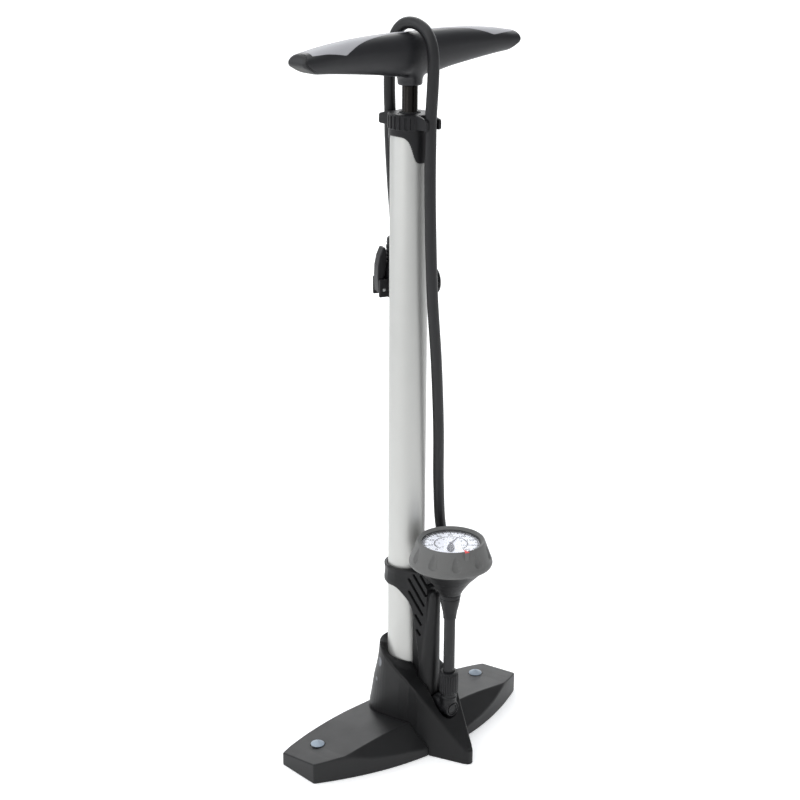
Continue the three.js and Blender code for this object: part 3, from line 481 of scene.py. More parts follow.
def finish(ob, material, body, slot, *packed):
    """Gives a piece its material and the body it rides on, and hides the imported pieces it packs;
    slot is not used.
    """
    ob.data.materials.clear()
    ob.data.materials.append(material)
    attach(ob, body)
    if packed:
        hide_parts(*packed)


# ------------------------------------------------------------------ material tools
def srgb(*rgb):
    """Linear colour from 0 to 255 screen values."""
    linear = [v / 12.92 if v <= 0.04045 else ((v + 0.055) / 1.055) ** 2.4
              for v in (c / 255 for c in rgb)]
    return (*linear, 1)


def shade(colour, factor):
    return tuple(min(1, v * factor) for v in colour[:3]) + (1,)


def add_node(tree, kind, inputs=(), **settings):
    """New shader node; inputs gives a link or a value by socket name or number."""
    node = tree.nodes.new("ShaderNode" + kind)
    for key, value in settings.items():
        setattr(node, key, value)
    feed(tree, node, inputs)
    return node


def feed(tree, node, inputs):
    for key, value in dict(inputs).items():
        if isinstance(value, bpy.types.NodeSocket):
            tree.links.new(value, node.inputs[key])
        else:
            node.inputs[key].default_value = value


class Nodes:
    """A material with a Principled shader; methods add nodes and return their output."""

    def __init__(self, name):
        self.mat = bpy.data.materials.new(name)
        self.mat.use_nodes = True
        self.tree = self.mat.node_tree
        self.tree.nodes.clear()
        self.bsdf = self.add("BsdfPrincipled")
        self.add("OutputMaterial", {0: self.bsdf.outputs[0]})
        self.place = self.add("TexCoord").outputs["Object"]

    def add(self, kind, inputs=(), **settings):
        return add_node(self.tree, kind, inputs, **settings)

    def set(self, inputs):
        feed(self.tree, self.bsdf, inputs)

    def stretched(self, scale):
        return self.add("Mapping", {"Scale": scale, "Vector": self.place}).outputs[0]

    def noise(self, scale, detail=3, rough=0.55, vector=None):
        inputs = {"Scale": scale, "Detail": detail, "Roughness": rough}
        inputs["Vector"] = vector or self.place
        return self.add("TexNoise", inputs).outputs[0]

    def fit(self, value, low, high, to_low, to_high):
        """Maps low..high onto to_low..to_high."""
        inputs = {"From Min": low, "From Max": high, "To Min": to_low, "To Max": to_high}
        return self.add("MapRange", {**inputs, "Value": value}).outputs[0]

    def mix(self, factor, a, b):
        return self.add("Mix", {0: factor, 6: a, 7: b}, data_type="RGBA").outputs[2]

    def math(self, operation, a, b=0.0):
        return self.add("Math", {0: a, 1: b}, operation=operation).outputs[0]

    def bump(self, height, strength, distance, previous=None):
        inputs = {"Strength": strength, "Distance": distance, "Height": height}
        if previous is not None:
            inputs["Normal"] = previous
        return self.add("Bump", inputs).outputs[0]

    def worn(self):
        """1 on convex edges, 0 elsewhere."""
        sharpness = self.add("NewGeometry").outputs["Pointiness"]
        return self.fit(sharpness, 0.515, 0.56, 0, 1)


def moulded(name, rgb, rough, grain=1400, depth=0.00003, spec=0.5, wear=0.25, mottle=0.12,
            overlay=None):
    """Moulded plastic: fine grain, faint cloudiness, and edges rubbed lighter."""
    mat = Nodes(name)
    base = srgb(*rgb)
    cloud = mat.noise(38, 4)
    fine = mat.noise(grain, 2, 0.6)
    clouded = mat.fit(cloud, 0.35, 0.65, 0, 1)
    colour = mat.mix(clouded, shade(base, 1 - mottle), shade(base, 1 + mottle))
    colour = mat.mix(mat.fit(fine, 0.3, 0.7, 0, 0.35), colour, shade(base, 1.35))
    patchy = mat.fit(mat.noise(220, 3), 0.4, 0.65, 0.1, 1)
    edge = mat.math("MULTIPLY", mat.worn(), patchy)
    colour = mat.mix(mat.math("MULTIPLY", edge, wear), colour, shade(base, 2.6))
    if overlay:
        colour = overlay(mat, colour)
    broad = mat.fit(cloud, 0.3, 0.7, rough - 0.035, rough + 0.035)
    waves = mat.bump(mat.noise(90, 2), 0.12, 0.0002)
    mat.set({
        "Base Color": colour,
        "Roughness": mat.math("ADD", broad, mat.fit(fine, 0.3, 0.7, -0.03, 0.03)),
        "Normal": mat.bump(fine, 0.5, depth, waves),
        "Specular IOR Level": spec,
    })
    return mat.mat


def rubber(name, rgb, rough=0.48, spec=0.45):
    """Extruded rubber: fine lengthwise drag lines, bloom and small specks."""
    mat = Nodes(name)
    base = srgb(*rgb)
    drag = mat.noise(520, 2, 0.5, mat.stretched((1, 1, 0.02)))
    bloom = mat.noise(24, 5, 0.6)
    speck = mat.noise(1500, 1)
    colour = mat.mix(mat.fit(bloom, 0.4, 0.7, 0, 0.8), shade(base, 0.86), shade(base, 1.3))
    colour = mat.mix(mat.fit(speck, 0.55, 0.75, 0, 0.25), colour, shade(base, 1.7))
    broad = mat.fit(bloom, 0.3, 0.7, rough - 0.05, rough + 0.06)
    mat.set({
        "Base Color": colour,
        "Roughness": mat.math("ADD", broad, mat.fit(drag, 0.3, 0.7, -0.03, 0.03)),
        "Normal": mat.bump(drag, 0.25, 0.00004, mat.bump(speck, 0.3, 0.00002)),
        "Specular IOR Level": spec,
    })
    return mat.mat


# stretch of the brushed lines: along the length, or round the axis
BRUSHED = {"drawn": (1, 1, 0.012), "turned": (0.03, 0.03, 1)}


def metal(name, rgb, rough, kind="turned", metallic=1.0):
    """Metal, blasted or brushed, with slight tone changes."""
    mat = Nodes(name)
    base = srgb(*rgb)
    fine = mat.noise(2600, 2, 0.7)
    cloud = mat.noise(30, 4, 0.6)
    if kind in BRUSHED:
        lines = mat.noise(900, 3, 0.6, mat.stretched(BRUSHED[kind]))
    else:
        lines = mat.noise(1500, 3, 0.7)
    colour = mat.mix(mat.fit(cloud, 0.35, 0.65, 0, 1), shade(base, 0.95), shade(base, 1.04))
    colour = mat.mix(mat.fit(fine, 0.25, 0.75, 0, 0.5), shade(base, 0.86), colour)
    broad = mat.fit(cloud, 0.3, 0.7, rough - 0.02, rough + 0.03)
    mat.set({
        "Base Color": colour,
        "Metallic": metallic,
        "Roughness": mat.math("ADD", broad, mat.fit(lines, 0.3, 0.7, -0.05, 0.05)),
        "Normal": mat.bump(lines, 0.35, 0.00002, mat.bump(fine, 0.4, 0.00002)),
    })
    return mat.mat


def scoop_tint(mat, colour):
    """Shows the tower's scoops in a lighter grey; both flanks share one test through |x|."""
    split = mat.add("SeparateXYZ", {0: mat.add("TexCoord").outputs["Object"]}).outputs
    flank = mat.add("Math", {0: split[0]}, operation="ABSOLUTE").outputs[0]
    place = mat.add("CombineXYZ", {0: flank, 1: split[1], 2: split[2]}).outputs[0]
    total = None
    for cx, cy, cz, depth, half_height in SCOOPS:
        centre = (cx * MM, cy * MM, cz * MM)
        wide = 1000 / (depth * 1.3)
        offset = mat.add("VectorMath", {0: place, 1: centre}, operation="SUBTRACT").outputs[0]
        scaled = mat.add("VectorMath", {0: offset, 1: (wide, wide, 1000 / half_height)},
                         operation="MULTIPLY").outputs[0]
        length = mat.add("VectorMath", {0: scaled}, operation="LENGTH").outputs["Value"]
        within = mat.fit(length, 1.02, 0.9, 0, 1)
        total = within if total is None else mat.math("MAXIMUM", total, within)
    return mat.mix(total, colour, srgb(96, 99, 104))


def end_material():
    """Handle end: dark grey on the flat oblique face, the handle's black round it."""
    mat = Nodes("handle_end_grey")
    normal = mat.add("NewGeometry").outputs["Normal"]
    split = mat.add("SeparateXYZ", {0: normal}).outputs
    slant = 1.9294  # length of the face's normal (1, -END_LEAN)
    outward = mat.math("MULTIPLY", mat.math("ABSOLUTE", split[0]), 1 / slant)
    facing = mat.math("ADD", outward, mat.math("MULTIPLY", split[2], -END_LEAN / slant))
    flat = mat.fit(facing, 0.955, 0.975, 0, 1)
    fine = mat.noise(1700, 2, 0.6)
    cloud = mat.noise(40, 4)
    black, grey = srgb(24, 24, 27), srgb(57, 57, 55)
    clouded = mat.mix(mat.fit(cloud, 0.35, 0.65, 0, 1), shade(grey, 0.93), shade(grey, 1.07))
    colour = mat.mix(flat, black, clouded)
    colour = mat.mix(mat.fit(fine, 0.3, 0.7, 0, 0.25), colour, shade(grey, 1.2))
    mat.set({
        "Base Color": colour,
        "Roughness": mat.fit(flat, 0, 1, 0.4, 0.62),
        "Normal": mat.bump(fine, 0.5, 0.00004),
        "Specular IOR Level": 0.35,
    })
    return mat.mat


def lens_material():
    """Nearly invisible clear plastic."""
    mat = Nodes("lens_clear")
    mat.set({
        "Base Color": (0.95, 0.97, 1, 1),
        "Roughness": mat.fit(mat.noise(60, 3), 0.3, 0.7, 0.02, 0.06),
        "Alpha": 0.05,
        "IOR": 1.45,
    })
    return mat.mat


BLACK = moulded("base_black", (21, 21, 22), rough=0.42, spec=0.26)
TOWER = moulded("tower_black", (19, 19, 20), rough=0.42, spec=0.24, overlay=scoop_tint)
BLACK_BAR = moulded("bar_black", (24, 24, 25), rough=0.44, spec=0.31)
BLACK_TRIM = moulded("trim_black", (20, 20, 22), rough=0.42, grain=1700, spec=0.27)
BLACK_HANDLE = moulded("handle_black", (24, 24, 27), rough=0.38, grain=1500, spec=0.42)
HANDLE_END = end_material()
INLAY = moulded("inlay_grey", (156, 156, 160), rough=0.55, grain=2200, wear=0.2, mottle=0.03,
                spec=0.35)
BEZEL = moulded("bezel_grey", (93, 93, 92), rough=0.5, grain=1900, wear=0.2, mottle=0.04,
                spec=0.35)
RED = moulded("marker_red", (205, 48, 52), rough=0.5, grain=1900, wear=0.0, mottle=0.05)
# a spare grey that no piece wears
moulded("scallop_grey", (108, 110, 114), rough=0.45, grain=1900, wear=0.0, mottle=0.04)
STUD = rubber("stud_grey", (138, 150, 162), rough=0.38, spec=0.5)
HOSE = rubber("hose_black", (22, 22, 24), rough=0.42, spec=0.38)
SEAL = rubber("seal_black", (24, 24, 26), rough=0.6)
ALLOY = metal("barrel_alloy", (203, 203, 200), rough=0.47, kind="blasted", metallic=0.72)
ROD = metal("rod_steel", (46, 44, 42), rough=0.22, kind="drawn")
STEEL = metal("bright_steel", (196, 198, 200), rough=0.25)
BRASS = metal("brass", (205, 168, 92), rough=0.28)
INNER = moulded("inner_nylon", (214, 213, 206), rough=0.45, grain=1500, wear=0.0)
DIAL = moulded("dial_white", (228, 230, 240), rough=0.5, grain=2400, depth=0.00001, wear=0.0,
               mottle=0.015)
INK = moulded("dial_ink", (20, 20, 32), rough=0.6, grain=2400, depth=0.00001, wear=0.0,
              mottle=0.05)
NEEDLE = moulded("needle_grey", (70, 72, 84), rough=0.4, grain=2000, wear=0.0)
LENS = lens_material()

# ------------------------------------------------------------------ foot bar
# rows of |x| and the y or z there; the ridge runs along the bar between two slopes
BAR_REAR_Y = [[0, 41], [40, 41], [55, 40.2], [90, 37.3], [120, 31], [136, 25.4]]
RIDGE_Y = [[0, -35], [49, -34], [109, -33], [122, -26], [136, -20.4]]
RIDGE_Z = [[0, 30], [49, 29.5], [109, 24], [136, 20.3]]
BAR_REAR_Z = [[0, 18], [60, 16.5], [100, 14], [136, 13]]
BAR_FRONT_Z = [[0, 8.5], [20, 8.7], [37, 11], [77, 16], [105, 22.5], [114, 23], [136, 20.1]]
BAR_BOW = 0.00194  # the front edge is a parabola in x
# blind round holes in the underside: x, y
BAR_HOLES = ((-18, -26), (18, -26), (-17.5, 24), (17.5, 24))


def bar_front(x):
    return -56 + BAR_BOW * x * x


def bar_rear(x):
    return smooth_table(BAR_REAR_Y, np.abs(x))


def bar_tops(x, y):
    """Height and steepness of the rear slope, then of the front slope."""
    front, rear, far = bar_front(x), bar_rear(x), np.abs(x)
    ridge_y = np.maximum(smooth_table(RIDGE_Y, far), front + 0.6)
    ridge_z = smooth_table(RIDGE_Z, far)
    rear_slope = (smooth_table(BAR_REAR_Z, far) - ridge_z) / (rear - ridge_y)
    front_slope = (ridge_z - smooth_table(BAR_FRONT_Z, far)) / (ridge_y - front)
    rear_top = ridge_z + rear_slope * (y - ridge_y)
    front_top = ridge_z + front_slope * (y - ridge_y)
    return rear_top, rear_slope, front_top, np.minimum(front_slope, 6)


def bar_sd(pts):
    x, y, z = pts.T
    rear_top, rear_slope, front_top, front_slope = bar_tops(x, y)
    rear = (z - rear_top) / np.sqrt(1 + rear_slope**2)
    front = (z - front_top) / np.sqrt(1 + front_slope**2)
    wall = (bar_front(x) - y) / np.sqrt(1 + (2 * BAR_BOW * x) ** 2)
    wall = smax(wall, (y - bar_rear(x)) / 1.02, 1.0)
    wall = smax(wall, np.abs(x) - 134.8, 1.2)
    body = smax(smax(rear, front, 0.7), wall, 1.3)
    body = smax(body, -z, 0.8)
    for side in (-1, 1):
        # each rubber foot has a recess below, a through hole and a shallow seat on top
        radial = np.hypot(x - side * FOOT_X, y - FOOT_Y)
        body = cut(body, np.maximum(radial - 11.3, z - 3.3), 0.4)
        body = cut(body, radial - 3.8, 0.3)
        body = cut(body, np.maximum(radial - 7.2, -rear - 0.5), 0.3)
    for hole_x, hole_y in BAR_HOLES:
        radial = np.hypot(x - hole_x, y - hole_y)
        body = cut(body, np.maximum(radial - 4.8, z - 5), 0.4)
    return body


finish(net("Foot_bar", bar_sd, low=(-135, -57, 0), high=(135, 42, 31), step=1.0),
       BLACK_BAR, "base", "base_plastic", "foot_bar")

# ------------------------------------------------------------------ base tower
TOWER_HALF, TOWER_REAR = 29, 39  # half width and rear reach at the floor
# right half of the plan from the toe back: x, y
TOE_PLAN = [
    (0, -93.6), (2.0, -93.3), (3.4, -92.4), (5.9, -88.6), (10.4, -78), (16.4, -63.9),
    (20.5, -54.7), (25.2, -44), (28.4, -33), (29.0, -20), (TOWER_HALF, -8),
]
# side view of the space under the sloping top: y, z
RAKE = [
    (-130, 14.4), (-94.4, 14.4), (-91, 15.8), (-77.5, 28.5), (-63, 43.5), (-55, 52),
    (-47, 60), (-41, 65.5), (-29, 73), (-12, 80), (3, 88.5), (10, 94), (16, 96.6),
    (22, 97.4), (60, 98), (60, -70), (-130, -70),
]
# z and half width, z and rear reach
TOWER_WIDTHS = [[0, 29], [25, 28.2], [50, 27.2], [75, 26.2], [98, 25.2], [120, 25]]
TOWER_REARS = [
    [0, 39], [24, 38.5], [36, 36.5], [55, 33.6], [68, 30.2], [82, 27], [98, 25.2], [120, 25],
]
# y and how far the top is lifted round the barrel
COLLAR_RISE = [
    [-45, 0], [-29, 1.5], [-17.5, 3.9], [-12.9, 4.0], [-6, 2.0], [0, -0.6], [6, -3.2],
    [11.8, -5.6], [17.8, -5.0], [27, -3.5],
]
# the gauge bracket's column: z, y of its axis, radius
COLUMN = np.array([
    [40, -31.4, 11.6], [46, -31.6, 11.5], [70, -33, 10.6], [115, -35.9, 8.4],
    [135, -38, 6.9], [172, -41, 5.2],
])


def plan_outline(power):
    """Plan of the tower, its rear a half superellipse of this power."""
    turn = np.linspace(0, PI / 2, 14)
    across = TOWER_HALF * np.cos(turn).clip(0) ** (2 / power)
    back = TOWER_REAR * np.sin(turn) ** (2 / power)
    right = np.concatenate([TOE_PLAN, np.stack([across, back], 1)])
    return np.concatenate([right, right[-2:0:-1] * (-1, 1)])


PLAN_LOW, PLAN_HIGH = plan_outline(2.8), plan_outline(2.05)


def ease(t):
    t = np.clip(t, 0, 1)
    return t * t * (3 - 2 * t)


def tower_body_sd(pts):
    """The tower without its openings."""
    x, y, z = pts.T
    half = smooth_table(TOWER_WIDTHS, z)
    rear = smooth_table(TOWER_REARS, z)
    plan_x = x * (1 + (TOWER_HALF / half - 1) * ease((y + 55) / 25))
    plan_y = np.where(y > 0, y * TOWER_REAR / rear, y)
    upper = np.clip(z / 75, 0, 1)
    body = poly_sd(plan_x, plan_y, PLAN_LOW) * (1 - upper)
    body = body + poly_sd(plan_x, plan_y, PLAN_HIGH) * upper
    body = body * np.where(y > 0, 0.5 + 0.5 * rear / TOWER_REAR, 1.0)
    near_barrel = ease((26.5 - np.hypot(x, y)) / 8.0)
    top = poly_sd(y, z - near_barrel * smooth_table(COLLAR_RISE, y), RAKE)
    return smax(body, top, 2.4)


def column_sd(pts, grow=0.0):
    x, y, z = pts.T
    centre = np.interp(z, COLUMN[:, 0], COLUMN[:, 1])
    radius = np.interp(z, COLUMN[:, 0], COLUMN[:, 2]) + grow
    return np.hypot(x, y - centre) - radius


def tower_sd(pts):
    x, y, z = pts.T
    body = tower_body_sd(pts)
    # stands on the bar and, in front of it, on the floor
    rear_top, _, front_top, _ = bar_tops(x, y)
    on_bar = smax(bar_front(x) - y, y - bar_rear(x), 0.6) - 0.3
    under = smax(on_bar, (z - np.minimum(rear_top, front_top)) / 1.15 - 0.02, 0.3)
    body = cut(body, under, 0.35)
    body = smax(body, 0.3 - z, 0.4)
    # barrel seat
    body = cut(body, smax(np.hypot(x, y) - SEAT_R, 50 - z, 0.4), 0.9)
    # slot for the bracket's column and spine
    body = cut(body, smax(column_sd(pts, grow=0.45), 45.6 - z, 0.4), 0.5)
    body = cut(body, box_sd(pts, (-7.2, -38, 45.6), (7.2, -10, 125), edge=1.0), 0.6)
    # pocket round the elbow, open upwards
    radial = np.hypot(x, z - OUTLET_Z)
    pocket = smax(radial - 10.4, between(y, -72.6, -40), 0.8)
    above = box_sd(pts, (-10.4, -72.6, OUTLET_Z), (10.4, -40, 130), edge=2.2)
    body = cut(body, smin(pocket, above, 1.5), 0.9)
    # finger scoops on each rear flank
    for side in (-1, 1):
        for cx, cy, cz, depth, half_height in SCOOPS:
            nx, ny = side * cx / math.hypot(cx, cy), cy / math.hypot(cx, cy)
            dx, dy = x - side * cx, y - cy
            inward = (dx * nx + dy * ny) / depth
            along = (-dx * ny + dy * nx) / (depth * 1.5)
            reach = np.sqrt(inward**2 + along**2 + ((z - cz) / half_height) ** 2)
            body = cut(body, (reach - 1) * depth * 0.8, 0.5)
    return body


finish(net("Base_tower", tower_sd, low=(-30, -94, 0), high=(30, 40, 99), step=0.75),
       TOWER, "base", "base_plastic", "base_tower")

# ------------------------------------------------------------------ gauge bracket
BRACKET_TOP = 181
# ring round the barrel: z, radius
BRACKET_RING = [[163, 21.0], [166, 21.2], [170, 20.8], [175, 20.5], [178.5, 21.0], [181, 21.2]]
# plan of the web between ring and column: x, y
WEB_PLAN = [(-19.9, -6), (-19.9, 4), (19.9, 4), (19.9, -6), (7.2, -37), (-7.2, -37)]
# side view of the space under and behind the web: y, z
WEB_UNDER = [
    (12, 60), (12, 163), (-4, 163), (-9, 159.2), (-12.7, 155.6), (-16.2, 152),
    (-18.9, 148.5), (-21.2, 143.5), (-22.6, 137.5), (-23.8, 130), (-25.0, 121),
    (-26.5, 110), (-28.5, 92), (-30, 60),
]
# slots leaning forward and down: y, z of the upper end, y, z of the lower end
VENTS = (
    (-30.7, 178.8, -38.5, 166), (-24, 178.2, -35.6, 159.2), (-19.4, 172.8, -33.8, 148.6),
    (-19.5, 160.2, -32.5, 138.8), (-26.0, 136.6, -31.2, 127.8), (-27.4, 121.2, -30.3, 116.8),
)
# space the gauge housing sits in: radius from the gauge axis, z
GAUGE_SEAT = [
    (-20, 143), (10.6, 143), (10.8, 169), (13.1, 173.2), (16.9, 178.6), (21.7, 184.6),
    (26.7, 189.6), (32.5, 196.2), (35.6, 198.4), (35.6, 230), (-20, 230),
]


def bracket_sd(pts):
    x, y, z = pts.T
    radial = np.hypot(x, y)
    ring = drum(radial, smooth_table(BRACKET_RING, z), z, 163, BRACKET_TOP, (0.9, 0.9))
    plan = poly_sd(x, y, WEB_PLAN)
    web = cut(smax(plan, z - BRACKET_TOP, 0.9), poly_sd(y, z, WEB_UNDER), 1.6)
    web = smax(web, 58 - z, 0.5)
    body = smin(ring, web, 2.2)
    column = smax(smax(column_sd(pts), z - 164.5, 7.0), 46 - z, 0.5)
    spine = smax(np.abs(x) - 6.5, between(y, -36, -13), 0.6)
    spine = smax(spine, smax(z - BRACKET_TOP, 50 - z, 0.6), 0.6)
    body = smin(smin(body, column, 1.0), spine, 0.8)
    for y0, z0, y1, z1 in VENTS:
        ay, az = y1 - y0, z1 - z0
        t = np.clip(((y - y0) * ay + (z - z0) * az) / math.hypot(ay, az) ** 2, 0, 1)
        slot = np.hypot(y - y0 - ay * t, z - z0 - az * t) - 1.1
        # blind, 3.4 mm in from either side
        body = cut(body, np.maximum(slot, -plan - 3.4), 0.35)
    # room for the barrel, the tower's seat, the gauge housing and the outlet tube
    body = cut(body, radial - SEAT_R, 0.8)
    body = cut(body, smax(radial - 23.8, z - 56.3, 0.3), 0.3)
    body = cut(body, poly_sd(np.hypot(x, y - GAUGE_Y), z, GAUGE_SEAT), 0.7)
    outlet = smax(np.hypot(x, z - OUTLET_Z) - 6.9, y + 8, 0.4)
    return cut(body, outlet, 0.5)


finish(net("Gauge_bracket", bracket_sd, low=(-22, -50, 45), high=(22, 22, 182), step=0.65),
       BLACK, "base", "base_plastic", "gauge_bracket")


# ------------------------------------------------------------------ elbow
def elbow_sd(pts):
    """Level outlet tube, round front body and the stepped upright under the feed hose."""
    x, y, z = pts.T
    level = np.hypot(x, z - OUTLET_Z)
    upright = np.hypot(x, y - GAUGE_Y)
    tube_part = smax(level - 3.9, between(y, -46, -14), 0.4)
    front = drum(level, 7.9, y, low=-67.4, high=-44.4, soft=(0.9, 0.8))
    riser = drum(upright, 7.6, z, low=OUTLET_Z, high=65.4, soft=(0.7, 0.7))
    ring = smax(upright - 8.05, between(z, 59.8, 61.6), 0.5)
    body = smin(smin(tube_part, front, 0.6), smin(riser, ring, 0.4), 1.2)
    neck = drum(upright, 5.6, z, low=60, high=76, soft=(0.5, 0.5))
    spigot = drum(upright, 3.1, z, low=60, high=96, soft=(0.4, 0.4))
    body = smin(body, smin(neck, spigot, 0.4), 0.4)
    # ring groove and dished disc on the front face
    body = cut(body, smax(np.abs(level - 6.0) - 0.55, y + 66.4, 0.25), 0.3)
    return cut(body, smax(level - 4.4, y + 66.9, 0.25), 0.3)


finish(net("Elbow", elbow_sd, low=(-9, -70, 40), high=(9, -13, 97), step=0.5),
       BLACK_TRIM, "base", "trim_plastic", "elbow_fitting")

# ------------------------------------------------------------------ rubber feet
# height of the stud's head, from a straight slope up the bar towards the front
STUD_Z = 14 + 10 * (37 - FOOT_Y) / 70 + 0.9
# radius, z, edge radius
FOOT_PROFILE = [
    (0, 0.15), (10.2, 0.15, 0.6), (11.0, 1.0, 0.5), (11.0, 3.0, 0.5), (3.5, 3.0, 0.4),
    (3.5, STUD_Z + 0.05, 0.3), (6.55, STUD_Z - 0.1, 0.3), (6.55, STUD_Z + 0.7, 0.4),
    (0.5, STUD_Z + 4.1, 0.4), (0, STUD_Z + 4.2),
]
for tag, side in (("left", -1), ("right", 1)):
    foot = lathe("Rubber_foot_" + tag, FOOT_PROFILE, side * FOOT_X, FOOT_Y, seg=72, sharp=40)
    finish(foot, STUD, "base", "foot_rubber", "rubber_foot_" + tag)


# ------------------------------------------------------------------ barrel, rod and cap
def pipe_profile(bore, radius, low, high, chamfer, rise):
    """Pipe wall with small outer chamfers."""
    return [(bore, low), (radius - 0.2, low), (radius, low + rise[0]),
            (radius, high - rise[1]), (radius - chamfer, high), (bore, high)]


barrel = pipe_profile(16, BARREL_R, 56.3, 609, chamfer=0.2, rise=(0.3, 0.4))
finish(lathe("Barrel", barrel, seg=160), ALLOY, "base", "barrel_alloy", "barrel")
rod = pipe_profile(5.6, 7.0, 90.3, 668, chamfer=0.2, rise=(0.4, 0.4))
finish(lathe("Piston_rod", rod, seg=96), ROD, "handle", "rod_steel", "piston_rod")

# lower edge of the skirt: |x|, z
SKIRT_EDGE = [
    [0, 569.2], [4.6, 569.5], [7.2, 571.2], [8.7, 574.6], [11, 583], [13.3, 589.2],
    [16.5, 592.4], [20, 593], [60, 593],
]
# hose clip plate: distance in front of or behind the axis, z
CLIP_PLATE = [
    (14, 599.4), (30.2, 599.8), (31.2, 600.8), (31.2, 607.4), (30.2, 608.8), (20, 611.7),
    (14, 611.9),
]


def cap_sd(pts):
    x, y, z = pts.T
    radial = np.hypot(x, y)
    angle = np.arctan2(y, x)
    band = drum(radial, 19.7, z, low=598.8, high=611.6, soft=(0.6, 1.1))
    skirt = drum(radial, 18.9, z, low=569.2, high=600, soft=(0.9, 0.4))
    skirt = smax(skirt, (smooth_table(SKIRT_EDGE, np.abs(x)) - z) * 0.55, 0.7)
    disc = drum(radial, 18.6, z, low=596, high=612, soft=(0.6, 0.8))
    body = smin(smin(band, skirt, 0.5), disc, 0.3)
    # grip grooves on the two sides
    groove = smax(rib_offset(angle, 24) * 19.6 - 1.05, np.abs(z - 604.9) - 5.6, 0.6)
    groove = smax(groove, 18.7 - radial, 0.3)
    body = cut(body, np.where(np.abs(np.cos(angle)) > 0.64, groove, 9.0), 0.35)
    # hose clips, a pair of plates in front and behind
    for end in (-1, 1):
        for side in (-1, 1):
            profile = poly_sd(end * y, z, CLIP_PLATE)
            body = smin(body, smax(profile, np.abs(x - side * 7.5) - 1.5, 0.7), 0.5)
    for hose_x, hose_y in ((-0.8, -28), (0, 25.6)):
        hose_gap = np.hypot(x - hose_x, y - hose_y) - 5.75
        body = cut(body, smax(hose_gap, 12 - np.abs(y), 0.3), 0.5)
    # two low marks on the top
    for side in (-1, 1):
        low, high = (side * 12.2 - 1.6, -1.2, 611.4), (side * 12.2 + 1.6, 1.2, 612.3)
        body = smin(body, box_sd(pts, low, high, edge=0.35), 0.2)
    # the rod's bore, the open skirt and the groove for the barrel's wall
    body = cut(body, smax(radial - 9.5, 400 - z, 0.1), 0.7)
    body = cut(body, smax(radial - 15.6, z - 584.6, 0.1), 0.3)
    wall = smax(radial - 17.72, z - 609.3, 0.3)
    return cut(body, smax(wall, 15.9 - radial, 0.2), 0.3)


finish(net("Barrel_cap", cap_sd, low=(-20, -32, 569), high=(20, 32, 613), step=0.55),
       BLACK_TRIM, "base", "trim_plastic", "barrel_cap")

WIPER_PROFILE = [
    (7.35, 608.2), (9.1, 608.2, 0.2), (9.1, 612.6, 0.4), (8.5, 613.1, 0.3), (7.35, 612.7, 0.2),
]
finish(lathe("Rod_wiper", WIPER_PROFILE, seg=96), SEAL, "base", "seal_rubber", "rod_wiper")


# ------------------------------------------------------------------ under the gauge
def about_gauge(radius, angle):
    """Plan position at a radius and angle round the gauge axis."""
    return radius * np.cos(angle), GAUGE_Y + radius * np.sin(angle)


def turned_outline(outline, angle):
    """A plan outline drawn along +X, turned and moved to the gauge axis."""
    c, s = math.cos(angle), math.sin(angle)
    return [(x * c - y * s, GAUGE_Y + x * s + y * c) for x, y in outline]


NUT_RIBS = 22
# radius, z, depth of ribbing
NUT_ROWS = [
    (5.95, 65.8, 0), (8.6, 65.8, 0), (8.95, 66.2, 0.3), (9.0, 67.4, 1), (9.0, 84.0, 1),
    (8.8, 85.4, 0.7), (8.35, 86.3, 0.1), (8.2, 87.2, 0), (7.9, 87.4, 0), (5.95, 87.4, 0),
]


def nut_mesh():
    seg = NUT_RIBS * 12
    turn = 2 * PI * np.arange(seg) / seg
    wave = 0.5 + 0.5 * np.cos(NUT_RIBS * turn)
    wave = np.clip(wave * 1.5, 0, 1) ** 0.8
    rings = []
    for radius, z, ribbing in NUT_ROWS:
        ribbed = radius + ribbing * (0.3 * wave - 0.42 * (1 - wave))
        rings.append(np.stack([*about_gauge(ribbed, turn), np.full(seg, z)], 1))
    return ring_mesh("Hose_nut", rings, sharp=40)


finish(nut_mesh(), BLACK_TRIM, "base", "trim_plastic", "hose_nut")

feed_path = [np.array((0, GAUGE_Y, z)) for z in np.linspace(77.6, 150.8, 60)]
upwards = np.tile([0, 0, 1.0], (60, 1))
finish(tube("Feed_hose", feed_path, upwards, radius=5.4, bore=3.5, seg=48),
       HOSE, "base", "hose_rubber", "feed_hose")

# radius, z, edge radius
RELIEF_PROFILE = [
    (5.9, 143.4), (6.15, 143.4, 0.2), (6.3, 146), (6.9, 150.5, 2.0), (8.2, 156, 3.0),
    (9.2, 161, 2.0), (9.55, 164.6, 0.3), (9.2, 165.0, 0.2), (9.2, 165.5, 0.2),
    (10.0, 165.9, 0.3), (10.1, 169.15, 0.2), (3.6, 169.15), (3.6, 152.6), (5.9, 151.4),
]
finish(lathe("Strain_relief", RELIEF_PROFILE, 0, GAUGE_Y, seg=96, sharp=38),
       BLACK_TRIM, "base", "trim_plastic", "strain_relief")

# ------------------------------------------------------------------ gauge housing
# radius from the gauge axis, z
HOUSING = [
    (1.5, 152), (3.2, 152), (3.2, 169.4), (10.2, 169.4), (12.5, 173.6), (16.2, 179),
    (21, 185), (26, 190), (31.8, 196.6), (34.6, 198.6), (34.6, 199.5), (32.6, 199.5),
    (32.6, 205), (28.7, 221.4), (27.5, 221.4), (27.5, 218.7), (25.8, 218.7), (25.8, 198),
    (19, 191), (1.5, 191),
]
# level hose port pointing right and back
PORT_AIM = np.array([0.787, 0.616, 0.0])
PORT = PORT_AIM / np.linalg.norm(PORT_AIM)
PORT_Z = 175.6


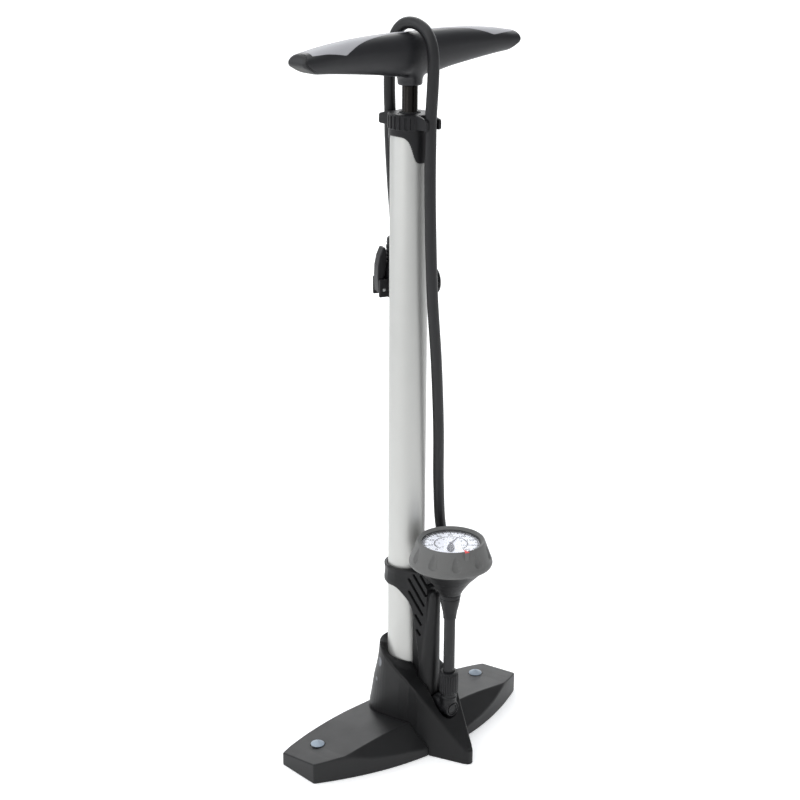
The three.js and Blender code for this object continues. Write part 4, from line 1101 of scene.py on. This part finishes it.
def housing_sd(pts):
    radial = np.hypot(pts[:, 0], pts[:, 1] - GAUGE_Y)
    body = poly_sd(radial, pts[:, 2], HOUSING) - 0.05
    offset = pts - np.array([0, GAUGE_Y, PORT_Z])
    along = offset @ PORT
    port_radial = np.linalg.norm(offset - along[:, None] * PORT, axis=1)
    boss = drum(port_radial, 5.8, along, low=9, high=19.4, soft=(0.5, 0.7))
    boss = smax(boss, 3.4 - radial, 0.3)
    body = smin(body, boss, 1.5)
    body = cut(body, smax(port_radial - 3.5, -along, 0.2), 0.3)
    return cut(body, radial - 1.5, 0.2)


finish(net("Gauge_housing", housing_sd, low=(-36, -98, 151), high=(36, -25, 223), step=0.75),
       BLACK, "base", "base_plastic", "gauge_housing")

# ------------------------------------------------------------------ gauge ring
# radius, z, edge radius
RING_PROFILE = [
    (32.9, 199.9, 0.2), (36.8, 199.9, 0.6), (38.4, 200.6, 0.8), (39.0, 202.2, 0.9),
    (38.7, 204.2, 1.2), (37.7, 206.5, 1.5), (31.9, 222.6, 2.0), (31.2, 224.1, 0.9),
    (30.2, 224.1, 0.5), (27.6, 222.0, 0.2), (27.4, 221.75, 0.1), (29, 221.75, 0.2),
    (33, 205.2, 0.4),
]
# drop-shaped finger flutes up the flank
FLUTES = 10
FLUTE_AZIMUTH = math.radians(-125.5)
FLUTE_LOW, FLUTE_HIGH = 206.6, 220.8
# share of the flute's height, and half width or depth there
FLUTE_HALF = np.array([
    (-0.5, 0), (-0.05, 0), (0.0, 1.0), (0.03, 2.2), (0.1, 3.8), (0.2, 4.6), (0.33, 4.7),
    (0.55, 3.7), (0.8, 2.3), (0.95, 1.2), (1.0, 0), (1.5, 0),
])
FLUTE_DEPTH = np.array([
    (-0.5, 0), (0.0, 0), (0.05, 1.1), (0.14, 2.0), (0.3, 2.3), (0.6, 1.9), (0.85, 1.2),
    (1.0, 0.3), (1.5, 0),
])


def flute_depth(turn, radius, z):
    """How deep the flutes cut in at points round the flank."""
    share = (z - FLUTE_LOW) / (FLUTE_HIGH - FLUTE_LOW)
    half = np.interp(share, *FLUTE_HALF.T)
    if half <= 0.02:
        return np.zeros(len(turn))
    pitch = 2 * PI / FLUTES
    off = np.abs((turn - FLUTE_AZIMUTH + pitch / 2) % pitch - pitch / 2) * radius
    bow = np.clip(1 - (off / half) ** 2, 0, 1)
    return np.interp(share, *FLUTE_DEPTH.T) * bow**0.75


def gauge_ring_mesh():
    corners = round_poly(RING_PROFILE, 5)
    profile = []
    for i in range(len(corners)):
        a, b = np.array(corners[i]), np.array(corners[(i + 1) % len(corners)])
        flank = min(a[0], b[0]) > 30 and max(a[0], b[0]) >= 33.1 and min(a[1], b[1]) > 201.5
        # fine steps up the flank
        fine = flank and abs(b[1] - a[1]) > 1
        steps = max(1, int(np.linalg.norm(b - a) / 0.45)) if fine else 1
        profile += [a + (b - a) * k / steps for k in range(steps)]
    seg = 720
    turn = 2 * PI * np.arange(seg) / seg
    rings = []
    for radius, z in profile:
        outer = radius > 31.4 and radius > 38.0 - (z - 204.5) * 0.42
        depth = flute_depth(turn, radius, z) if outer else np.zeros(seg)
        # cut square to the sloping flank
        rings.append(np.stack([*about_gauge(radius - depth * 0.92, turn), z - depth * 0.39], 1))
    return ring_mesh("Gauge_ring", rings, sharp=48)


finish(gauge_ring_mesh(), BEZEL, "bezel", "bezel_grey", "gauge_bezel")

# ---- marker on the ring: a grey post with a red arrow head on top, its point to the dial
MARK_AZIMUTH = math.radians(-108.5)
POST_PROFILE = [(29.6, 222.6), (30.4, 216), (34.1, 216), (34.1, 224.2), (30.4, 224.2)]
ARROW = [(27.5, 0), (34.25, -2.1), (34.25, 2.1)]


def post_sd(pts):
    c, s = math.cos(MARK_AZIMUTH), math.sin(MARK_AZIMUTH)
    x, y, z = pts[:, 0], pts[:, 1] - GAUGE_Y, pts[:, 2]
    return smax(poly_sd(x * c + y * s, z, POST_PROFILE), np.abs(-x * s + y * c) - 1.95, 0.3)


post_x, post_y = about_gauge(31.5, MARK_AZIMUTH)
finish(net("Ring_marker_post", post_sd, low=(post_x - 7, post_y - 7, 214),
           high=(post_x + 7, post_y + 7, 227), step=0.22),
       BEZEL, "bezel", "bezel_grey")
arrow = turned_outline(ARROW, MARK_AZIMUTH)
finish(plate("Ring_marker", arrow, low=224.22, high=224.85, edge=0.12),
       RED, "bezel", "marker_red", "bezel_marker")

# ------------------------------------------------------------------ dial
DIAL_Z = 219.8
# the scales run clockwise, their gap towards the camera
SCALE_START = math.radians(CAMERA_AZIMUTH - 45 + 360)
SCALE_SWEEP = math.radians(270)
# tick count, ticks in the full sweep, outer radius, then inner radius and width
# of the main, middle and small ticks
TICK_SCALES = (
    (161, 160, 26.4, ((22.4, 0.95), (23.6, 0.6), (24.4, 0.36))),
    (111, 110.3, 15.6, ((13.6, 0.6), (14.2, 0.42), (14.8, 0.26))),
)
# inner and outer radius, pieces
SCALE_ARCS = ((26.4, 26.95, 160), (15.6, 16.0, 100))
# number of steps, steps in the full sweep, value of a step, text size, radius
NUMBER_SCALES = ((17, 16, 10, 4.9, 19.4), (12, 11.03, 1, 3.6, 11.2))


def scale_mesh():
    """Printed ticks and arcs as thin raised ink."""
    verts, quads = [], []

    def ink(corners):
        b = len(verts)
        for z in (DIAL_Z - 0.02, DIAL_Z + 0.05):
            verts.extend((x, y, z) for x, y in corners)
        quads.extend([(b + 3, b + 2, b + 1, b), (b + 4, b + 5, b + 6, b + 7)])
        for k in range(4):
            n = (k + 1) % 4
            quads.append((b + k, b + n, b + 4 + n, b + 4 + k))

    for count, full, outer, sizes in TICK_SCALES:
        for i in range(count):
            inner, width = sizes[0 if i % 10 == 0 else 1 if i % 5 == 0 else 2]
            half = width / 2
            tick = [(inner, -half), (outer, -half), (outer, half), (inner, half)]
            ink(turned_outline(tick, SCALE_START - SCALE_SWEEP * i / full))
    start = SCALE_START - SCALE_SWEEP
    for inner, outer, pieces in SCALE_ARCS:
        for i in range(pieces):
            u, v = (start + SCALE_SWEEP * k / pieces for k in (i, i + 1))
            ink([about_gauge(r, a) for r, a in ((inner, u), (outer, u), (outer, v), (inner, v))])
    return build("Dial_scale", verts, quads, smooth=False)


def numeral(text, size, x, y):
    """A numeral as a thin raised mesh, upright to the camera."""
    curve = bpy.data.curves.new("Numeral", "FONT")
    curve.body = text
    curve.size = size * MM
    curve.align_x = "CENTER"
    curve.align_y = "CENTER"
    curve.extrude = 0.04 * MM
    curve.resolution_u = 3
    ob = link("Numeral", curve)
    facing = Matrix.Rotation(math.radians(CAMERA_AZIMUTH + 90), 4, "Z")
    ob.matrix_world = Matrix.Translation(Vector((x, y, DIAL_Z + 0.01)) * MM) @ facing
    bpy.context.view_layer.update()
    graph = bpy.context.evaluated_depsgraph_get()
    mesh = bpy.data.meshes.new_from_object(ob.evaluated_get(graph))
    mesh.transform(ob.matrix_world)
    bpy.data.objects.remove(ob)
    return mesh


def numbers_object():
    joined = bmesh.new()
    for count, full, value, size, radius in NUMBER_SCALES:
        for i in range(0, count, 2):
            x, y = about_gauge(radius, SCALE_START - SCALE_SWEEP * i / full)
            joined.from_mesh(numeral(str(i * value), size, x, y))
    bmesh.ops.remove_doubles(joined, verts=joined.verts, dist=1e-7)
    mesh = bpy.data.meshes.new("Dial_numbers")
    joined.to_mesh(mesh)
    joined.free()
    return link("Dial_numbers", mesh)


DIAL_PROFILE = [(0, 219.0), (27.1, 219.0), (27.1, 219.7), (27.0, DIAL_Z), (0, DIAL_Z)]
finish(lathe("Dial", DIAL_PROFILE, 0, GAUGE_Y, seg=128, sharp=40),
       DIAL, "base", "dial_white", "gauge_dial")
finish(scale_mesh(), INK, "base", "dial_white")
finish(numbers_object(), INK, "base", "dial_white")

# ---- needle and lens
NEEDLE_AZIMUTH = math.radians(21.6)
TAIL_ANGLE = math.radians(203.1)  # the tail is a little off the pointer's line
# drop-shaped tail: distance from the hub, half width
TAIL = [
    (1.2, 1.5), (3, 1.95), (5, 2.6), (7, 3.05), (9, 3.35), (11, 3.45), (13, 3.4), (15, 3.1),
    (16.5, 2.7), (17.8, 2.15), (18.8, 1.4),
]


def needle_outline():
    """Plan with the pointer along +X."""
    c, s = math.cos(TAIL_ANGLE), math.sin(TAIL_ANGLE)
    tail = TAIL + [(19.4, 0)] + [(d, -w) for d, w in TAIL[::-1]]
    tail = [(c * d + s * w, s * d - c * w) for d, w in tail]
    return [(14.3, -0.28), (14.5, 0), (14.3, 0.28), (1.6, 0.75)] + tail + [(1.6, -0.75)]


needle = turned_outline(needle_outline(), NEEDLE_AZIMUTH)
finish(plate("Needle", needle, low=220.06, high=220.5, edge=0.12),
       NEEDLE, "needle", "needle_grey", "gauge_needle")
HUB_PROFILE = [(0, 220.45), (1.9, 220.45), (1.9, 220.6, 0.06), (1.3, 220.7, 0.1), (0, 220.7)]
finish(lathe("Needle_hub", HUB_PROFILE, 0, GAUGE_Y, seg=48, sharp=40),
       NEEDLE, "needle", "needle_grey")
LENS_PROFILE = [
    (0, 220.85), (27.0, 220.85), (27.15, 220.95), (27.15, 221.3), (27.0, 221.4), (0, 221.4),
]
finish(lathe("Lens", LENS_PROFILE, 0, GAUGE_Y, seg=128), LENS, "base", "lens_clear",
       "gauge_lens")

# ------------------------------------------------------------------ handle
# rows of |x| and: height of the top, height of the underside, half thickness
HANDLE_TOP = [
    [0, 681.6], [20, 681.9], [42, 681.6], [62, 680.8], [80, 679.4], [101, 677], [118, 674.2],
    [126, 673], [134, 671.5],
]
HANDLE_BOTTOM = [
    [0, 644.6], [10, 644.8], [22, 645.6], [42, 648.7], [62, 651.2], [81, 653.4],
    [100, 655.3], [118, 656.6], [133, 657.6],
]
HANDLE_HALF = [
    [0, 15.4], [12, 15.0], [25, 14.2], [45, 13.6], [70, 13.4], [95, 13.1], [112, 12.7],
    [122, 12.2], [133, 11.2],
]
HANDLE_POWER = 2.45  # of the superellipse section
BOSS_RADII = [[630, 10.4], [637.5, 10.9], [645, 11.5], [660, 12.5]]  # z, radius


def handle_section(x):
    """Underside, half thickness, middle height, and the reach above and below the middle."""
    lift = HANDLE_TILT * x
    top = smooth_table(HANDLE_TOP, np.abs(x)) + lift
    bottom = smooth_table(HANDLE_BOTTOM, np.abs(x)) + lift
    middle = (top + bottom) / 2 - 0.3
    half = smooth_table(HANDLE_HALF, np.abs(x))
    return bottom, half, middle, top - middle, middle - bottom + 1.6


def skin_sd(pts):
    x, y, z = pts.T
    bottom, half, middle, up, down = handle_section(x)
    reach = np.where(z > middle, up, down)
    power = HANDLE_POWER
    ratio = (np.abs(y) / half) ** power + (np.abs(z - middle) / reach) ** power
    body = (ratio ** (1 / power) - 1) * np.minimum(half, reach)
    return smax(body, bottom - z, 1.0)


def skin_point(x, angle):
    """Point on the upper skin at an angle from its crest, and the outward normal."""
    _, half, middle, up, _ = handle_section(x)
    sine, cosine = np.sin(angle), np.cos(angle)
    y = half * np.sign(sine) * np.abs(sine) ** (2 / HANDLE_POWER)
    z = middle + up * np.abs(cosine) ** (2 / HANDLE_POWER)
    ny = np.sign(y) * (np.abs(y) / half) ** (HANDLE_POWER - 1) / half
    nz = ((z - middle) / up) ** (HANDLE_POWER - 1) / up
    normal = np.stack([np.zeros_like(y), ny, nz], -1)
    normal /= np.linalg.norm(normal, axis=-1, keepdims=True)
    return np.stack([x, y, z], -1), normal


def end_plane(pts, side):
    """Distance out past the end: a flat face looking out and down, with a blunt tip above it."""
    out = side * pts[:, 0]
    rise = pts[:, 2] - HANDLE_TILT * pts[:, 0] - 666.8
    low = (out - 132.6 - END_LEAN * rise) / math.hypot(1, END_LEAN)
    tip = (out - 127.4 + 0.25 * rise) / 1.0308
    high = (out - 134.4 + 1.2 * rise) / 1.562
    return smax(smax(low, tip, 3.4), high, 5.0)


def handle_sd(pts):
    x, y, z = pts.T
    body = skin_sd(pts)
    for side in (-1, 1):
        end = end_plane(pts, side)
        body = smax(body, end, 2.6)
        body = smax(body, end + 2.2, 0.12)  # leaves room for the end cap
    radial = np.hypot(x, y)
    boss = drum(radial, smooth_table(BOSS_RADII, z), z, low=636, high=660, soft=(1.6, 0.5))
    body = smin(body, boss, 4.0)
    # rod socket and roll pin hole
    body = cut(body, smax(radial - 7.3, z - 668.4, 0.2), 0.5)
    return cut(body, smax(np.hypot(x, z - 657) - 2.2, np.abs(y) - 13.9, 0.1), 0.2)


def end_cap_sd(side):
    def field(pts):
        end = end_plane(pts, side)
        return cut(smax(skin_sd(pts) + 0.02, end, 2.6), end + 2.05, 0.12)

    return field


def inlay(name, side, rows):
    """Panel on the handle's upper skin, 0.15 mm proud with turned-down edges."""
    along, across = 190, 44
    xs = np.linspace(rows[0][0], rows[-1][0], along)
    limit = np.radians(smooth_table(rows, xs))
    spread = np.concatenate([[-1.0], np.linspace(-0.965, 0.965, across - 2), [1.0]])
    points, normals = skin_point(xs.repeat(across), (limit[:, None] * spread).ravel())
    proud = np.full((along, across), -0.6)
    proud[1:-1, 1:-1] = 1
    upper = points + normals * (0.15 * proud).ravel()[:, None]
    lower = points - normals * 0.75
    for layer in (upper, lower):
        if side < 0:
            layer[:, 2] -= 2 * HANDLE_TILT * layer[:, 0]
        layer[:, 0] *= side
    grid = np.arange(along * across).reshape(along, across)
    a = grid[:-1, :-1].ravel()
    top = np.stack([a, a + across, a + across + 1, a + 1], 1)
    rim = np.concatenate([grid[0], grid[1:, -1], grid[-1, -2::-1], grid[-2:0:-1, 0]])
    ahead = np.roll(rim, -1)
    wall = np.stack([rim, ahead, ahead + grid.size, rim + grid.size], 1)
    quads = np.concatenate([top, (top + grid.size)[:, ::-1], wall])
    if side > 0:
        quads = quads[:, ::-1]
    ob = build(name, np.concatenate([upper, lower]), quads)
    crease(ob, 60)
    return ob


# distance from the middle along the handle, half angle of the panel in degrees from the crest
INLAY_LEFT = [
    (5, 5), (23, 7.5), (38, 16), (54, 28.5), (68, 46), (78.5, 67), (84, 77.5), (89, 73),
    (95, 66.5), (103, 58), (111, 52), (117.5, 46),
]
INLAY_RIGHT = [
    (5, 4), (24, 6), (43, 13), (61.5, 23), (74.5, 38), (83, 50.5), (91.8, 63), (96.5, 60),
    (105, 52), (113, 42), (119.5, 33),
]

finish(net("Handle_body", handle_sd, low=(-140, -16, 635), high=(140, 16, 683), step=0.95),
       BLACK_HANDLE, "handle", "handle_plastic", "handle_body")
for tag, side in (("left", -1), ("right", 1)):
    x0, x1 = sorted((side * 104, side * 135))
    cap = net("Handle_end_cap_" + tag, end_cap_sd(side), low=(x0, -14, 652),
              high=(x1, 14, 677), step=0.42)
    finish(cap, HANDLE_END, "handle", "handle_end", "handle_end_cap_" + tag)
for tag, side, rows in (("left", -1, INLAY_LEFT), ("right", 1, INLAY_RIGHT)):
    finish(inlay("Handle_inlay_" + tag, side, rows), INLAY, "handle", "handle_inlay",
           "handle_inlay_" + tag)


# ------------------------------------------------------------------ delivery hose
def on_port(distance, rise=0.0):
    return (PORT_AIM[0] * distance, GAUGE_Y + PORT_AIM[1] * distance, PORT_Z + rise)


# from the gauge's port up in front of the barrel, over the handle and down to the pump head
HOSE_PATH = [
    on_port(20.2), on_port(24), on_port(28, rise=0.6),
    (28.6, -37.4, 176), (31, -32, 182), (29.5, -24.5, 197), (25.6, -20.8, 216),
    (20.6, -21.8, 262), (16, -25.4, 320), (9.5, -28.2, 385), (3, -28.6, 450), (0, -28, 520),
    (-0.8, -27.8, 560), (-0.8, -27.8, 585), (-0.8, -28, 610), (-0.4, -29.2, 634),
    (0, -29.6, 652), (0, -28.9, 665), (0, -26, 675), (0, -20, 683), (0, -12, 687.4),
    (0, -3, 689.2), (0, 6.4, 688.1), (0, 14.8, 683.2), (0, 21, 674.6), (0, 24.8, 662),
    (0, 26.6, 646), (0, 26.8, 628), (0, 25.9, 608), (0, 25.6, 590), (2.4, 24.6, 545),
    (6.2, 26.3, 522), (10.4, 29.7, 507),
    (HEAD_X, HEAD_Y, 497), (HEAD_X, HEAD_Y, 488), (HEAD_X, HEAD_Y, 477),
]
hose = tube("Delivery_hose", *catmull(HOSE_PATH, step=1.1), radius=5.2, bore=3.5, seg=36)
hose.data.materials.append(HOSE)
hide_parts("delivery_hose")
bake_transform(hose)

# ------------------------------------------------------------------ pump head
NOZZLE_AIM = np.array([0.94, -0.342, 0.0])
NOZZLE_AIM /= np.linalg.norm(NOZZLE_AIM)
NOZZLE_SIDE = np.array([-NOZZLE_AIM[1], NOZZLE_AIM[0], 0.0])
NOZZLE_Z = 448.0
# upright body: z, radius
HEAD_RADII = [
    [430, 8.6], [437, 8.8], [440, 10.7], [462, 10.8], [470, 9.4], [486, 8.6], [500, 8.6],
]
# lever's side view: distance along the nozzle's aim, z
LEVER_PROFILE = [
    (-18.6, 443.2), (-16.8, 442.8), (-12.8, 443.5), (-12.1, 449), (-13.6, 456),
    (-11.6, 462), (-10.6, 470), (-10.4, 480), (-11.6, 484.6), (-14.0, 484.8), (-17.2, 477),
    (-19.0, 468), (-19.4, 459),
]
LEVER_HALF = [[430, 5.6], [450, 5.6], [460, 5.4], [475, 5.5], [490, 4.6]]  # z, half width


def head_local(pts):
    """Distance along the nozzle, distance across it, and height."""
    offset = pts - np.array([HEAD_X, HEAD_Y, 0.0])
    return offset @ NOZZLE_AIM, offset @ NOZZLE_SIDE, pts[:, 2]


def lever_pin(along, z):
    return np.hypot(along + 14.6, z - 446) - 1.75


def head_sd(pts):
    along, across, z = head_local(pts)
    upright = np.hypot(along, across)
    level = np.hypot(across, z - NOZZLE_Z)
    body = drum(upright, smooth_table(HEAD_RADII, z), z, low=437, high=486, soft=(1.2, 1.2))
    body = smin(body, drum(level, 9.6, along, low=0, high=29, soft=(0.6, 0.6)), 2.5)
    # two cheeks hold the lever
    for side in (-1, 1):
        cheek = smax(np.abs(across - side * 7.6) - 1.5, np.abs(z - 447.5) - 8.5, 1.2)
        body = smin(body, smax(cheek, between(along, -19, -4), 1.2), 1.0)
    # grip grooves round the neck
    for i in range(4):
        body = cut(body, smax(np.abs(z - 471 - 3.6 * i) - 0.7, 8.2 - upright, 0.3), 0.4)
    body = cut(body, level - 6.25, 0.4)
    body = cut(body, smax(upright - 6.15, 474.6 - z, 0.2), 0.4)
    return cut(body, lever_pin(along, z), 0.3)


def lever_sd(pts):
    along, across, z = head_local(pts)
    half = smooth_table(LEVER_HALF, z)
    body = smax(poly_sd(along, z, LEVER_PROFILE), np.abs(across) - half, 1.2)
    return cut(body, lever_pin(along, z), 0.3)


def nozzle_sd(pts):
    """Ribbed cap on the nozzle's end."""
    along, across, z = head_local(pts)
    radial = np.hypot(across, z - NOZZLE_Z)
    body = drum(radial, 12.1, along, low=29.5, high=41.5, soft=(0.6, 1.4))
    collar = drum(radial, 11.1, along, low=25.1, high=31, soft=(0.5, 0.3))
    body = smin(body, collar, 0.3)
    angle = np.arctan2(z - NOZZLE_Z, across)
    groove = smax(rib_offset(angle, 16) * 12 - 1.3, 10.9 - radial, 0.3)
    body = cut(body, smax(groove, np.abs(along - 35.2) - 4.4, 0.6), 0.4)
    body = cut(body, smax(radial - 10.0, along - 36.6, 0.2), 0.3)
    return cut(body, radial - 4.25, 0.6)


finish(net("Head_body", head_sd, low=(-12, 10, 436), high=(42, 48, 487), step=0.55),
       BLACK_TRIM, "base", "trim_plastic", "head_body")
finish(net("Head_lever", lever_sd, low=(-14, 22, 439), high=(8, 48, 486), step=0.5),
       BLACK_TRIM, "lever", "trim_plastic", "head_lever")
finish(net("Nozzle_cap", nozzle_sd, low=(28, 2, 434), high=(56, 36, 462), step=0.5),
       BLACK_TRIM, "base", "trim_plastic", "nozzle_cap")
FERRULE_PROFILE = [
    (6.3, 486.5), (7.9, 486.5, 0.4), (8.2, 488.4, 0.3), (8.0, 489.0, 0.2), (8.0, 490.6, 0.2),
    (7.6, 492.6, 0.5), (6.6, 493, 0.2), (6.3, 493),
]
finish(lathe("Hose_ferrule", FERRULE_PROFILE, HEAD_X, HEAD_Y, seg=72),
       BLACK_TRIM, "base", "trim_plastic", "hose_ferrule")

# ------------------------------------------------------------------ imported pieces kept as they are
# each name also covers longer names that start with it, such as the piston's bolt
PACKED_FINISHES = (
    (STEEL, ("base_screw", "check_valve_spring", "handle_roll_pin", "lever_pin", "plug_screw")),
    (BRASS, ("bourdon_tube", "hose_barb", "movement_plate", "sector_gear", "valve_retainer")),
    (INNER, ("check_valve_poppet", "piston", "rod_bush")),
    (BLACK_TRIM, ("barrel_end_plug", "head_plunger")),
    (SEAL, ("barrel_oring", "elbow_oring", "top_out_bumper", "valve_seal")),
)
for ob in bpy.data.objects:
    if ob.type != "MESH":
        continue
    for material, names in PACKED_FINISHES:
        if (ob.name + "_").startswith(tuple(name + "_" for name in names)):
            ob.data.materials.clear()
            ob.data.materials.append(material)


# ------------------------------------------------------------------ floor and world
def floor_material():
    mat = Nodes("studio_floor")
    patches = mat.fit(mat.noise(2.5, 4), 0.3, 0.7, 0, 1)
    mat.set({
        "Base Color": mat.mix(patches, srgb(247, 247, 247), srgb(250, 250, 250)),
        "Roughness": 0.9,
        "Emission Color": (0.98, 0.99, 1, 1),
        "Emission Strength": 0.3,
    })
    return mat.mat


def studio_floor():
    """Floor that curves up into a backdrop away from the camera, in metres."""
    material = floor_material()
    half, bend_start, bend = 9.0, 4.0, 2.0
    sweep = [(-half, 0.0)]
    for i in range(25):
        a = math.radians(90) * i / 24
        sweep.append((bend_start + bend * math.sin(a), bend * (1 - math.cos(a))))
    sweep.append((bend_start + bend, 9.0))
    away, sideways = Vector((0.674, 0.7387, 0)), Vector((0.7387, -0.674, 0))
    verts = []
    for distance, z in sweep:
        for across in (-half, half):
            spot = away * distance + sideways * across
            verts.append((spot.x, spot.y, z))
    faces = [(2 * i, 2 * i + 1, 2 * i + 3, 2 * i + 2) for i in range(len(sweep) - 1)]
    mesh = bpy.data.meshes.new("Studio_floor")
    mesh.from_pydata(verts, [], faces)
    mesh.polygons.foreach_set("use_smooth", [True] * len(mesh.polygons))
    mesh.update()
    floor = link("Studio_floor", mesh)
    mesh.materials.append(material)


def studio_world():
    """A lightbox, brightest towards -X and overhead; the camera sees it as plain pale."""
    world = bpy.data.worlds.new("Studio")
    bpy.context.scene.world = world
    world.use_nodes = True
    tree = world.node_tree
    bright = Vector((-0.93, -0.05, 0.36)).normalized()
    facing = add_node(tree, "VectorMath", {
        0: add_node(tree, "TexCoord").outputs["Generated"], 1: bright,
    }, operation="DOT_PRODUCT").outputs["Value"]
    glow = add_node(tree, "MapRange", {
        "From Min": -0.75, "From Max": 0.8, "To Min": 0.26, "To Max": 0.74, "Value": facing,
    }).outputs[0]
    camera_ray = add_node(tree, "LightPath").outputs["Is Camera Ray"]
    seen = add_node(tree, "Mix", {0: camera_ray, 2: glow, 3: 0.93}, data_type="FLOAT")
    feed(tree, tree.nodes["Background"], {0: (0.96, 0.98, 1.0, 1), 1: seen.outputs[0]})


studio_floor()
bpy.context.scene.view_settings.view_transform = "Standard"
studio_world()

# ------------------------------------------------------------------ lights and camera
PUMP = Vector((0, -0.01, 0.34))
BACKDROP = Vector((1.2, 1.3, 0))
WHITE, COOL, COOLER = (1, 1, 1), (0.97, 0.98, 1.0), (0.93, 0.96, 1.0)
# name, azimuth and elevation in degrees seen from the target, distance, width and height in
# metres, power in watts, colour, target
LIGHTS = (
    ("Key", -178, 36, 2.4, 1.3, 1.7, 13, WHITE, PUMP),
    ("Fill", -80, 22, 2.6, 0.7, 1.6, 3, COOL, PUMP),
    ("Top", -130, 84, 2.0, 1.9, 1.9, 15, WHITE, PUMP),
    ("Rim_left", 140, 30, 2.4, 0.9, 1.8, 10, COOLER, PUMP),
    ("Rim_right", 10, 28, 2.4, 0.9, 1.8, 6, COOLER, PUMP),
    ("Back_floor", 47, 50, 3.2, 2.5, 2.0, 40, WHITE, BACKDROP),
)


def soft_box(name, azimuth, elevation, distance, width, height, power, colour, target):
    a, e = math.radians(azimuth), math.radians(elevation)
    aim = Vector((math.cos(e) * math.cos(a), math.cos(e) * math.sin(a), math.sin(e)))
    place = target + aim * distance
    lamp = bpy.data.lights.new(name, "AREA")
    lamp.shape = "RECTANGLE"
    lamp.size, lamp.size_y = width, height
    lamp.energy = power
    lamp.color = colour
    ob = link(name, lamp)
    ob.rotation_euler = (target - place).to_track_quat("-Z", "Y").to_euler()
    ob.location = place


for light in LIGHTS:
    soft_box(*light)


def add_camera():
    lens = bpy.data.cameras.new("Camera")
    lens.lens = 74.54
    lens.sensor_width = 36
    lens.clip_end = 50
    camera = link("Camera", lens)
    right = Vector((0.7398, -0.6729, 0.00587))
    up = Vector((0.2157, 0.2454, 0.9452))
    forward = Vector((0.6374, 0.6979, -0.3267))
    turn = Matrix((right, up, -forward)).transposed().to_4x4()
    place = Vector((-0.986688, -1.069964, 0.847898))
    camera.matrix_world = Matrix.Translation(place) @ turn
    bpy.context.scene.camera = camera


add_camera()
bpy.context.view_layer.update()
